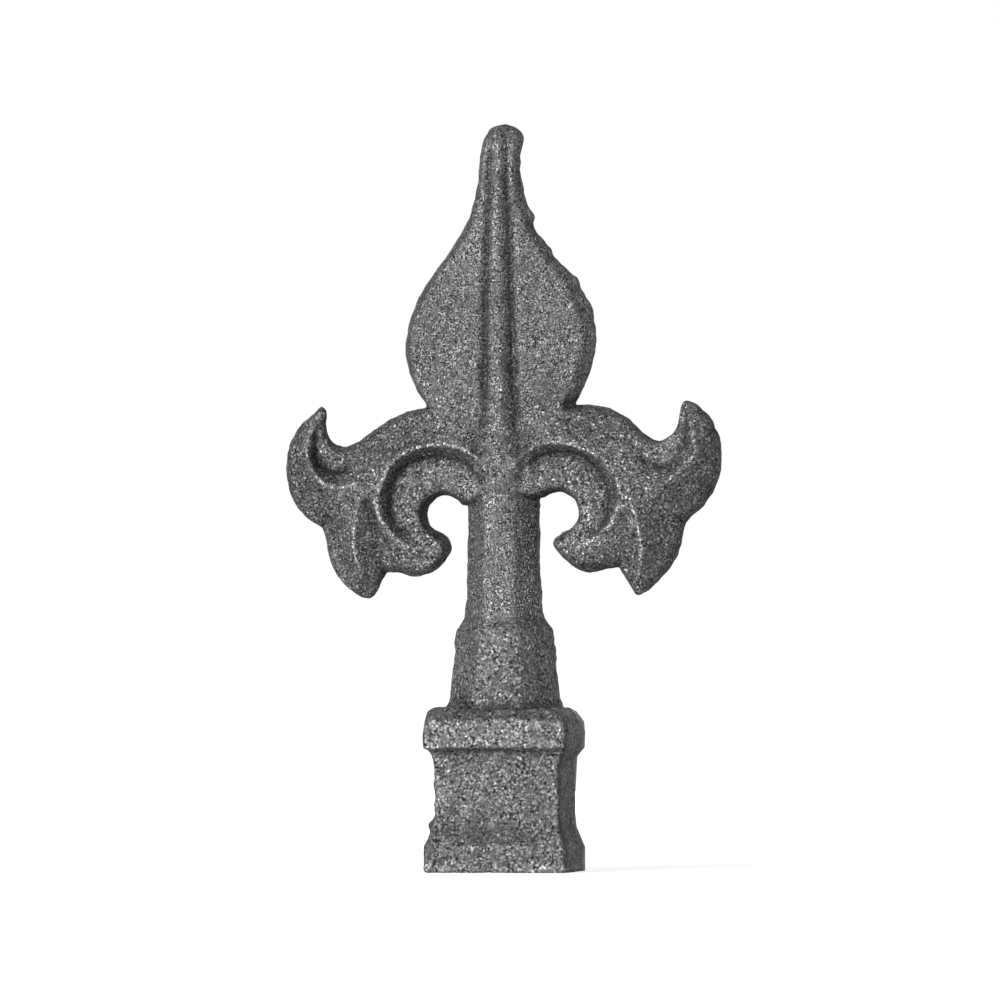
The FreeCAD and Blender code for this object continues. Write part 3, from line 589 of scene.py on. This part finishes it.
skinLook = {
    "seed": 7,
    "waves": ((7.0, 0.11), (2.6, 0.085), (1.2, 0.07), (0.65, 0.055)),  # width, height
    "shares": [  # height, and how much of the waves shows there
        (24.0, 1.0), (28.0, 1.25), (44.0, 0.9), (84.0, 0.9), (90.0, 0.6), (112.0, 0.6), (118.0, 0.95)],
    "footCrumbs": 0.17,  # extra along the bottom edge
    "crumbWidth": 1.3,
    "crumbReach": 0.9,  # how far up they go
    "markReach": 3,  # in radii of the mark
    "markFalloff": 0.9,
}


def roughen(field):
    rng = np.random.default_rng(skinLook["seed"])
    share = levels(skinLook["shares"], axes[2]).astype(np.float32)
    for cell, height in skinLook["waves"]:
        field = field + height * share * lumps(rng, field.shape, step, cell)
    crumbs = skinLook["footCrumbs"] * np.exp(-(axes[2] / skinLook["crumbReach"]) ** 2).astype(np.float32)
    field = field + crumbs * lumps(rng, field.shape, step, skinLook["crumbWidth"])
    for *at, radius, height in marks:
        reach = skinLook["markReach"] * radius
        near = tuple(slice(*np.searchsorted(axis, (middle - reach, middle + reach)))
                     for axis, middle in zip(axes, at))
        x, y, z = np.ix_(*(axis[part] - middle for axis, part, middle in zip(axes, near, at)))
        lump = height * np.exp(-(x ** 2 + y ** 2 + z ** 2) / (skinLook["markFalloff"] * radius ** 2))
        field[near] += lump.astype(np.float32)
    return field


# The bar's socket, and the flat foot
def cutSocket(field):
    x, y, z = np.ix_(*axes)
    inSocket = base["socket"] - np.maximum(np.abs(x), np.abs(y))
    inSocket = np.minimum(inSocket, base["socketDepth"] - z)
    return np.minimum(np.minimum(field, -inSocket), z - footZ).astype(np.float32)


print("growing the casting")
field = cutSocket(roughen(growCasting()))


# A vertex in each cell that the surface crosses, and a four-sided face round each
# edge of the grid that it crosses
def meshFrom(field):
    solid = field > 0
    nx, ny, nz = field.shape
    corners = list(np.ndindex(2, 2, 2))

    def part(array, corner):
        i, j, k = corner
        return array[i:nx - 1 + i, j:ny - 1 + j, k:nz - 1 + k]

    filled = sum(part(solid, c).astype(np.int8) for c in corners)
    active = (filled > 0) & (filled < 8)
    ci, cj, ck = np.nonzero(active)
    number = np.full(active.shape, -1, dtype=np.int64)
    number[ci, cj, ck] = np.arange(len(ci))
    value = {c: field[ci + c[0], cj + c[1], ck + c[2]].astype(float) for c in corners}
    total = np.zeros((len(ci), 3))
    hits = np.zeros(len(ci))
    for axis in range(3):
        for c in corners:
            if c[axis]:
                continue
            d = list(c)
            d[axis] = 1
            a, b = value[c], value[tuple(d)]
            crossed = (a > 0) != (b > 0)
            share = np.where(crossed, a / np.where(crossed, a - b, 1), 0)
            point = np.tile(np.array(c, dtype=float), (len(ci), 1))
            point[:, axis] = share
            total += point * crossed[:, None]
            hits += crossed
    points = np.column_stack([ci, cj, ck]) + total / hits[:, None]

    faces = []
    for axis in range(3):
        b, c = (axis + 1) % 3, (axis + 2) % 3
        low = [slice(None)] * 3
        high = [slice(None)] * 3
        low[axis] = slice(0, -1)
        high[axis] = slice(1, None)
        change = solid[tuple(low)].astype(np.int8) - solid[tuple(high)].astype(np.int8)
        for sign in (1, -1):
            place = np.array(np.nonzero(change == sign))
            fits = (place[b] > 0) & (place[c] > 0)
            fits &= (place[b] < field.shape[b] - 1) & (place[c] < field.shape[c] - 1)
            place = place[:, fits]
            ring = []
            for db, dc in ((1, 1), (0, 1), (0, 0), (1, 0)):
                cell = place.copy()
                cell[b] -= db
                cell[c] -= dc
                ring.append(number[tuple(cell)])
            ring = np.stack(ring, axis=1)
            faces.append(ring if sign > 0 else ring[:, ::-1])
    return points, np.vstack(faces)


# The field's values between the grid's points
def readField(field, points):
    p = np.clip(points, 0, np.array(field.shape) - casting["lastCell"])
    low = p.astype(int)
    share = p - low
    total = np.zeros(len(p))
    for corner in np.ndindex(2, 2, 2):
        weight = np.prod(np.where(corner, share, 1 - share), axis=1)
        total += weight * field[tuple((low + corner).T)]
    return total


def makeMesh(name, place, faces):
    mesh = bpy.data.meshes.new(name)
    mesh.vertices.add(len(place))
    mesh.vertices.foreach_set("co", (place * mm).astype(np.float32).ravel())
    mesh.loops.add(len(faces) * 4)
    mesh.loops.foreach_set("vertex_index", faces.astype(np.int32).ravel())
    mesh.polygons.add(len(faces))
    mesh.polygons.foreach_set("loop_start", np.arange(0, len(faces) * 4, 4, dtype=np.int32))
    mesh.update(calc_edges=True)
    mesh.validate()
    return mesh


# The grid's fine mesh, thinned out more on its back than in front
def thinOut(finial, place, triangles):
    thin = finial.modifiers.new("thin", "DECIMATE")
    thin.ratio = casting["mostFaces"] / triangles
    behind = finial.vertex_groups.new(name="behind")
    inBack = place[:, 1] > casting["backFrom"]
    for share, these in ((1.0, inBack), (casting["frontThinning"], ~inBack)):
        behind.add(np.nonzero(these)[0].tolist(), share, "REPLACE")
    thin.vertex_group = "behind"
    thin.vertex_group_factor = 1.0
    view = finial.evaluated_get(bpy.context.evaluated_depsgraph_get())
    thinned = bpy.data.meshes.new_from_object(view)
    finial.modifiers.clear()
    finial.data = thinned
    finial.vertex_groups.clear()


def castFinial():
    points, faces = meshFrom(field)
    place = origin + points * step
    print("casting", len(place), "points", len(faces), "faces")
    finial = bpy.data.objects.new("finialCasting", makeMesh("finialGrid", place, faces))
    bpy.context.scene.collection.objects.link(finial)
    triangles = len(faces) * 2
    if triangles > casting["mostFaces"]:
        thinOut(finial, place, triangles)
    mesh = finial.data
    mesh.name = "finialCasting"
    place = np.empty(len(mesh.vertices) * 3, dtype=np.float32)
    mesh.vertices.foreach_get("co", place)
    place = place.reshape(-1, 3) / mm
    place = np.clip(place, lowCorner + casting["boxRoom"], highCorner - casting["boxRoom"])
    mesh.vertices.foreach_set("co", (place * mm).astype(np.float32).ravel())
    mesh.polygons.foreach_set("use_smooth", np.ones(len(mesh.polygons), dtype=bool))
    print("thinned to", len(mesh.vertices), "points", len(mesh.polygons), "faces")
    return finial, place


print("meshing the casting")
finial, place = castFinial()

# Parts of the casting's skin painted darker or lighter than the rest, partly as painted light and shade
# where the lamps leave them too dark or too light, such as the lighter left side of the stem's collar,
# partly as plain tone: distance from the axis, height, radius across and up, share of the color
shadeAndTonePatches = {
    "leftPetal": [
        (-34, 69, 7, 12, 0.66), (-27, 56, 6, 9, 0.9), (-20, 74, 9, 5, 0.86), (-13, 64, 5.5, 7, 0.76),
        (-22.5, 61, 1.5, 4, 1.3), (-18, 52.6, 2, 2, 0.88), (-20, 64.5, 2, 6, 0.96),
        (-16.5, 64, 2.2, 6, 0.9), (-31.4, 79.0, 0.55, 1.8, 0.6), (-33.4, 76.2, 0.6, 3.0, 1.35),
        (-23.0, 64.3, 1.0, 1.2, 1.2), (-32, 71, 4, 4, 0.95)],
    "rightPetal": [
        (36, 71, 6, 9, 0.64), (29, 58, 7, 9, 0.79), (20, 73, 7, 5, 1.2), (28.6, 74, 3.2, 3, 1.5),
        (12, 66, 5, 6, 0.95), (29, 71, 3, 2, 1.25), (16.5, 59, 3, 3.5, 1.2), (21.5, 71.5, 3, 2.5, 1.12),
        (13.8, 54.1, 3.4, 2.2, 0.6), (16.5, 63.8, 1.6, 2.5, 1.15), (12.5, 70.6, 4, 1.2, 0.88),
        (30.2, 73.3, 1.2, 1.2, 1.12), (18, 57.6, 2, 2, 1.1), (9, 71, 3, 2, 0.9), (22, 58, 1.5, 3, 0.86)],
    "leaf": [
        (-11, 96, 9, 16, 0.85), (10, 96, 9, 16, 0.88), (2.8, 79.0, 2.0, 3.2, 0.76),
        (8.4, 84, 3.2, 3.4, 0.74), (8, 91, 4, 8, 1.1)],
    "stem": [
        (-9.5, 36, 3, 8, 1.1), (0.4, 39.5, 1.8, 2.8, 1.22), (-6.0, 36, 2.6, 7, 1.13),
        (-2.5, 44.2, 3.2, 1.4, 1.22), (3.2, 38, 3, 8, 1.08)],
    "base": [(-12.6, 24, 1.2, 4, 0.82), (-9.1, 14.5, 0.9, 4.8, 1.36), (-11.8, 3.3, 1.3, 2.6, 0.7)],
}
baseShadeAndTones = {
    "foot": [  # height, share of the color: darker on the foot's sloping top as painted shade, lighter along the bottom edge
        (0.8, 1.55), (1.2, 1.02), (4.6, 1.02), (5.2, 0.84), (6.2, 0.77), (7.2, 0.77), (7.6, 0.84),
        (9.0, 0.93), (10.5, 1.0)],
    "head": [  # height, and how much lighter the head is; darker on its sloping underside and top as painted shade
        (19.2, 0), (20.0, 0.22), (20.6, 0.1), (21.1, -0.2), (21.6, -0.2), (21.9, 0.4), (22.5, 0.4),
        (23.2, 0.26), (26.0, 0.26), (26.6, -0.05), (27.1, -0.2), (27.6, -0.05), (29.4, -0.05), (31.0, 0)],
    "headAcross": [(-12.2, 0), (-10.8, 1), (8.8, 1), (10.6, 0)],  # distance, and how much of that shows
    # Painted shade at the front right corner: how much darker it is, then its place from the right side,
    # from the front, and its height, and how much shows
    "corner": 0.5,
    "cornerShadeSide": [(-0.45, 0), (-0.15, 1)],
    "cornerShadeFront": [(0.0, 0.3), (0.15, 1), (1.2, 1), (3.2, 0)],
    "cornerShadeUp": [(0.5, 0), (1.5, 1), (27.0, 1), (28.0, 0)],
}
grainPlaces = {
    "hollowReach": 0.9,  # how far round a place its hollow is measured
    "middleBand": 1.2,  # no carving within this depth of the middle plane
    "petal": [(7, 0), (11, 0.8)],  # distance from the stem's neck, share of coarse grain
    "petalTop": 66.0,  # above this height the distance grows half as fast with height
    "petalLeaf": [(80, 1), (84, 0)],  # height, and how much of that is left on the leaf
    "petalGlitter": [(43, 0), (45, 1.25), (80, 1.25), (84, 0)],
    "besideStem": [(2.5, 0), (4.5, 0.7)],  # distance to the right, painted glints on the stem's side
    "besideUp": [(43, 0), (45, 1), (66, 1), (70, 0)],
}


def addAttribute(name, values):
    attribute = finial.data.attributes.new(name, "FLOAT", "POINT")
    attribute.data.foreach_set("value", values.astype(np.float32))


# Painted shade on the base's sloping faces and at its front right corner, and a lighter head band
def shadeBase(x, y, z):
    paintedShadeAndTone = levels(baseShadeAndTones["foot"], z)
    paintedShadeAndTone = paintedShadeAndTone * (1 + levels(baseShadeAndTones["head"], z) * levels(baseShadeAndTones["headAcross"], x))
    toSide = x - levels(base["profile"], z, 2)
    toFront = y + levels(base["profile"], z, 3)
    corner = levels(baseShadeAndTones["cornerShadeSide"], toSide) * levels(baseShadeAndTones["cornerShadeFront"], toFront)
    return paintedShadeAndTone * (1 - baseShadeAndTones["corner"] * corner * levels(baseShadeAndTones["cornerShadeUp"], z))


# Hollows, worn lines, walls and tones, which the iron's color follows: painted shade and dark oxide in the
# hollows, painted shade on the walls, painted light and shade among the tones, and worn lines
def markSkin():
    x, y, z = place.T
    wide = soften(field, grainPlaces["hollowReach"] / step, (0, 1, 2))
    atPlace = (place - origin) / step
    # How far a place lies in a hollow; the color darkens there as painted shade, partly as dark oxide
    addAttribute("hollow", readField(wide, atPlace) - readField(field, atPlace))
    onRelief = (z > casting["mapFoot"]) & (np.abs(y) > grainPlaces["middleBand"])
    addAttribute("wornLine", np.where(onRelief, readMap(wornMap, x, z), 0))
    # Painted shade on the steep walls of the carving
    addAttribute("wallShade", np.where(onRelief, readMap(wallShadeMap, x, z), 0))

    paintedShadeAndTone = shadeBase(x, y, z)
    # Painted light and shade, and plain tone, in patches
    for part in shadeAndTonePatches.values():
        for besideX, upZ, across, up, share in part:
            paintedShadeAndTone *= 1 + (share - 1) * np.exp(-((x - besideX) / across) ** 2 - ((z - upZ) / up) ** 2)
    # Painted light on the leaf's sloping sides
    paintedShadeAndTone *= 1 + leaf["edgeLight"] * np.where(onRelief, readMap(rimLightMap, x, z), 0)
    addAttribute("paintedShadeAndTone", paintedShadeAndTone)

    fromNeck = np.hypot(x, np.maximum(z - grainPlaces["petalTop"], 0) / 2)
    onPetal = levels(grainPlaces["petal"], fromNeck)
    coarse = np.where(z > casting["mapFoot"], onPetal * levels(grainPlaces["petalLeaf"], z), 1.0)
    addAttribute("coarse", coarse)
    besideStem = levels(grainPlaces["besideStem"], x) * levels(grainPlaces["besideUp"], z)
    # Glitter: brighter specks and stronger grain painted into the color as glints
    addAttribute("glitter", np.maximum(onPetal * levels(grainPlaces["petalGlitter"], z), besideStem))


print("marking the skin")
markSkin()

ironLook = {
    "color": (0.170, 0.170, 0.172),
    "metallic": 0.8,
    "grainWidth": 0.36,  # mm
    "grainRough": 0.6,
    "fineGrain": (0.72, 1.5),  # share of that width, and detail
    "coarseGrain": (1.25, 2.0),
    "raisedGrain": (1.1, 1.5),
    "roundGrain": 1.3,  # share of that width
    "ramp": ((0.30, 0.09), (0.52, 0.93), (0.76, 2.9)),  # grain, and its share of the color
    "calmPlaces": (1.5, 2),  # width in mm and detail, as the four below
    "patches": (1.1, 3),
    "clouds": (9, 2),
    "specks": (0.42, 0),
    "wear": (1.6, 1),
    "bump": 0.7,
    "bumpDepth": 0.12,  # mm
    "ranges": {  # from these values of a noise or mark to those, mostly shares of the color
        "fineGrain": ((0, 1), (-0.12, 1.12)),
        "roundGrain": ((0.15, 0.75), (0.09, -0.09)),  # added to the grain
        "calmPlaces": ((0.38, 0.58), (0.45, 1.0)),  # how much of the grain shows
        "roughness": ((0.3, 0.7), (0.82, 0.66)),
        "patches": ((0.3, 0.7), (0.8, 1.2)),
        "coarsePatches": ((0.3, 0.7), (0.74, 1.26)),
        "clouds": ((0.3, 0.7), (0.93, 1.07)),
        "specks": ((0.67, 0.78), (1.0, 1.9)),
        "glitterSpecks": ((0.64, 0.76), (0.96, 2.5)),
        "glitterGrain": ((0.36, 0.64), (0.45, 1.6)),
        # darker in hollows: painted shade, partly dark oxide
        "hollow": ((0.02, 0.25), (1.0, 0.45)),
        "edge": ((-0.25, -0.08), (1.2, 1.0)),
        # painted shade on the walls
        "wallShade": ((0, 1), (1.0, 0.7)),
        "wear": ((0.35, 0.6), (0.5, 1.3)),  # how much of a worn line shows
        "wornLine": ((0.08, 0.6), (1.0, 2.0)),
    },
}


# A new node, whose sockets take numbers or other nodes' outputs
def addNode(tree, kind, sockets, **settings):
    node = tree.nodes.new("ShaderNode" + kind)
    for name, value in settings.items():
        setattr(node, name, value)
    for name, value in sockets.items():
        if isinstance(value, bpy.types.NodeSocket):
            tree.links.new(value, node.inputs[name])
        else:
            node.inputs[name].default_value = value
    return node


def remap(tree, value, fromRange, toRange=(0.0, 1.0)):
    sockets = {"Value": value, "From Min": fromRange[0], "From Max": fromRange[1], "To Min": toRange[0],
               "To Max": toRange[1]}
    return addNode(tree, "MapRange", sockets).outputs["Result"]


def join(tree, kind, a, b):
    return addNode(tree, "Math", {0: a, 1: b}, operation=kind).outputs[0]


def blend(tree, share, a, b):
    return addNode(tree, "Mix", {0: share, 2: a, 3: b}, data_type="FLOAT").outputs[0]


def castIron():
    material = bpy.data.materials.new("castIron")
    material.use_nodes = True
    tree = material.node_tree
    shader = tree.nodes["Principled BSDF"]
    shader.inputs["Metallic"].default_value = ironLook["metallic"]
    where = addNode(tree, "TexCoord", {}).outputs["Object"]

    def noise(width, detail, rough=0.5):
        sockets = {"Vector": where, "Scale": 1 / (width * mm), "Detail": detail, "Roughness": rough}
        return addNode(tree, "TexNoise", sockets).outputs["Fac"]

    def grainNoise(name):
        share, detail = ironLook[name]
        return noise(ironLook["grainWidth"] * share, detail, ironLook["grainRough"])

    def attribute(name):
        return addNode(tree, "Attribute", {}, attribute_name=name).outputs["Fac"]

    def ranged(value, name):
        return remap(tree, value, *ironLook["ranges"][name])

    # Grains: fine ones on the leaf, coarse ones below it, round ones over both
    fine = grainNoise("fineGrain")
    grain = blend(tree, attribute("coarse"), ranged(fine, "fineGrain"), grainNoise("coarseGrain"))
    scale = 1 / (ironLook["grainWidth"] * ironLook["roundGrain"] * mm)
    rounds = addNode(tree, "TexVoronoi", {"Vector": where, "Scale": scale}).outputs["Distance"]
    grain = join(tree, "ADD", grain, ranged(rounds, "roundGrain"))
    grain = blend(tree, ranged(noise(*ironLook["calmPlaces"]), "calmPlaces"), 0.5, grain)
    shade = addNode(tree, "ValToRGB", {"Fac": grain})
    stops = shade.color_ramp.elements
    stops.new(ironLook["ramp"][1][0])
    for stop, (position, share) in zip(stops, ironLook["ramp"]):
        stop.position = position
        stop.color = (*(channel * share for channel in ironLook["color"]), 1)

    # What makes it lighter or darker
    patches = noise(*ironLook["patches"])
    specks = noise(*ironLook["specks"])
    wear = join(tree, "MULTIPLY", attribute("wornLine"), ranged(noise(*ironLook["wear"]), "wear"))
    factors = [
        blend(tree, attribute("coarse"), ranged(patches, "patches"), ranged(patches, "coarsePatches")),
        ranged(noise(*ironLook["clouds"]), "clouds"),
        # painted glints: brighter specks and stronger grain where the glitter is
        blend(tree, attribute("glitter"), ranged(specks, "specks"), ranged(specks, "glitterSpecks")),
        blend(tree, attribute("glitter"), 1.0, ranged(fine, "glitterGrain")),
        # darker in hollows as painted shade, partly dark oxide; lighter on sharp edges as wear
        ranged(attribute("hollow"), "hollow"),
        ranged(attribute("hollow"), "edge"),
        # painted shade on the walls
        ranged(attribute("wallShade"), "wallShade"),
        # painted light and shade, and plain tone
        attribute("paintedShadeAndTone"),
        ranged(wear, "wornLine")]
    factor = factors[0]
    for another in factors[1:]:
        factor = join(tree, "MULTIPLY", factor, another)
    tint = addNode(tree, "VectorMath", {0: shade.outputs["Color"], "Scale": factor}, operation="SCALE")
    raised = {"Strength": ironLook["bump"], "Distance": ironLook["bumpDepth"] * mm,
              "Height": grainNoise("raisedGrain")}
    tree.links.new(tint.outputs[0], shader.inputs["Base Color"])
    tree.links.new(ranged(grain, "roughness"), shader.inputs["Roughness"])
    tree.links.new(addNode(tree, "Bump", raised).outputs["Normal"], shader.inputs["Normal"])
    return material


print("coloring the iron")
finial.data.materials.clear()
finial.data.materials.append(castIron())
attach(finial, "root")
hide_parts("finial")

studio = {
    "azimuth": 8.0,  # where the camera stands
    "elevation": 0.0,
    "distance": 4.0,
    "field": 0.1738,  # width of what it sees
    "aimHeight": 0.06465,
    "aimAside": -0.0007,
    "sensor": 36,
    "clip": (0.01, 40),
    "ambient": 0.20,
    "lampDistance": 1.1,
    "lamps": {  # azimuth, elevation, size, power
        "key": (-20, 8, 0.5, 16),
        "fill": (100, 10, 0.6, 2.1),
        "back": (190, 2, 0.5, 7),
    },
    "paperReach": 12.0,
    "paperColor": 0.8,
    "paperGlow": ((0.05, 1.2), (0.70, 0.92)),  # distances from the foot, strength at each
    "paperBehind": (0.3, 1.0),  # where the floor behind starts to be mirrored, and fully is
    "worldBehind": (0.6, 0.95),  # the same for the backdrop
}


def direction(azimuth, elevation):
    a, e = math.radians(azimuth), math.radians(elevation)
    return Vector((math.sin(a) * math.cos(e), -math.cos(a) * math.cos(e), math.sin(e)))


def addCamera():
    data = bpy.data.cameras.new("view")
    camera = bpy.data.objects.new("view", data)
    bpy.context.scene.collection.objects.link(camera)
    back = direction(studio["azimuth"], studio["elevation"])
    turn = math.radians(studio["azimuth"])
    aside = Vector((math.cos(turn), math.sin(turn), 0)) * studio["aimAside"]
    aim = Vector((0, 0, studio["aimHeight"])) + aside
    data.sensor_width = studio["sensor"]
    data.lens = studio["sensor"] * studio["distance"] / studio["field"]
    camera.location = aim + back * studio["distance"]
    camera.rotation_mode = "QUATERNION"
    camera.rotation_quaternion = (-back).to_track_quat("-Z", "Y")
    data.clip_start, data.clip_end = studio["clip"]
    bpy.context.scene.camera = camera
    return aim


def addLamp(name, aim, azimuth, elevation, size, power):
    data = bpy.data.lights.new(name, "AREA")
    data.shape = "DISK"
    data.size = size
    data.energy = power
    lamp = bpy.data.objects.new(name, data)
    bpy.context.scene.collection.objects.link(lamp)
    toLamp = direction(azimuth, elevation)
    lamp.location = aim + toLamp * studio["lampDistance"]
    lamp.rotation_mode = "QUATERNION"
    lamp.rotation_quaternion = (-toLamp).to_track_quat("-Z", "Y")


# White paper: plainly lit for the iron, white where the camera sees it, and mirrored
# in the iron only where it hangs behind
def whiteShare(tree, where, span):
    y = addNode(tree, "SeparateXYZ", {0: where}).outputs["Y"]
    path = addNode(tree, "LightPath", {}).outputs
    mirrored = join(tree, "MAXIMUM", path["Is Glossy Ray"], path["Is Transmission Ray"])
    mirrored = join(tree, "MULTIPLY", mirrored, remap(tree, y, span))
    return join(tree, "MAXIMUM", path["Is Camera Ray"], mirrored)


def hangBackdrop():
    world = bpy.data.worlds.new("studio")
    world.use_nodes = True
    bpy.context.scene.world = world
    tree = world.node_tree
    where = addNode(tree, "TexCoord", {}).outputs["Generated"]
    level = blend(tree, whiteShare(tree, where, studio["worldBehind"]), studio["ambient"], 1.0)
    tree.links.new(level, tree.nodes["Background"].inputs["Strength"])
    tree.nodes["Background"].inputs["Color"].default_value = (1, 1, 1, 1)


def layPaper():
    reach = studio["paperReach"]
    mesh = bpy.data.meshes.new("floor")
    mesh.from_pydata([(-reach, -reach, 0), (reach, -reach, 0), (reach, reach, 0), (-reach, reach, 0)], [],
                     [(0, 1, 2, 3)])
    floor = bpy.data.objects.new("floor", mesh)
    bpy.context.scene.collection.objects.link(floor)
    paper = bpy.data.materials.new("paper")
    paper.use_nodes = True
    tree = paper.node_tree
    tree.nodes.remove(tree.nodes["Principled BSDF"])
    where = addNode(tree, "TexCoord", {}).outputs["Object"]
    far = addNode(tree, "VectorMath", {0: where}, operation="LENGTH").outputs["Value"]
    lift = remap(tree, far, *studio["paperGlow"])
    glow = join(tree, "MULTIPLY", whiteShare(tree, where, studio["paperBehind"]), lift)
    lit = addNode(tree, "BsdfDiffuse", {"Color": (*[studio["paperColor"]] * 3, 1)})
    white = addNode(tree, "Emission", {"Strength": glow})
    both = addNode(tree, "AddShader", {0: lit.outputs[0], 1: white.outputs[0]})
    tree.links.new(both.outputs[0], tree.nodes["Material Output"].inputs["Surface"])
    mesh.materials.append(paper)


print("lighting the studio")
aim = addCamera()
for name, lamp in studio["lamps"].items():
    addLamp(name, aim, *lamp)
hangBackdrop()
layPaper()
bpy.context.scene.view_settings.view_transform = "Standard"
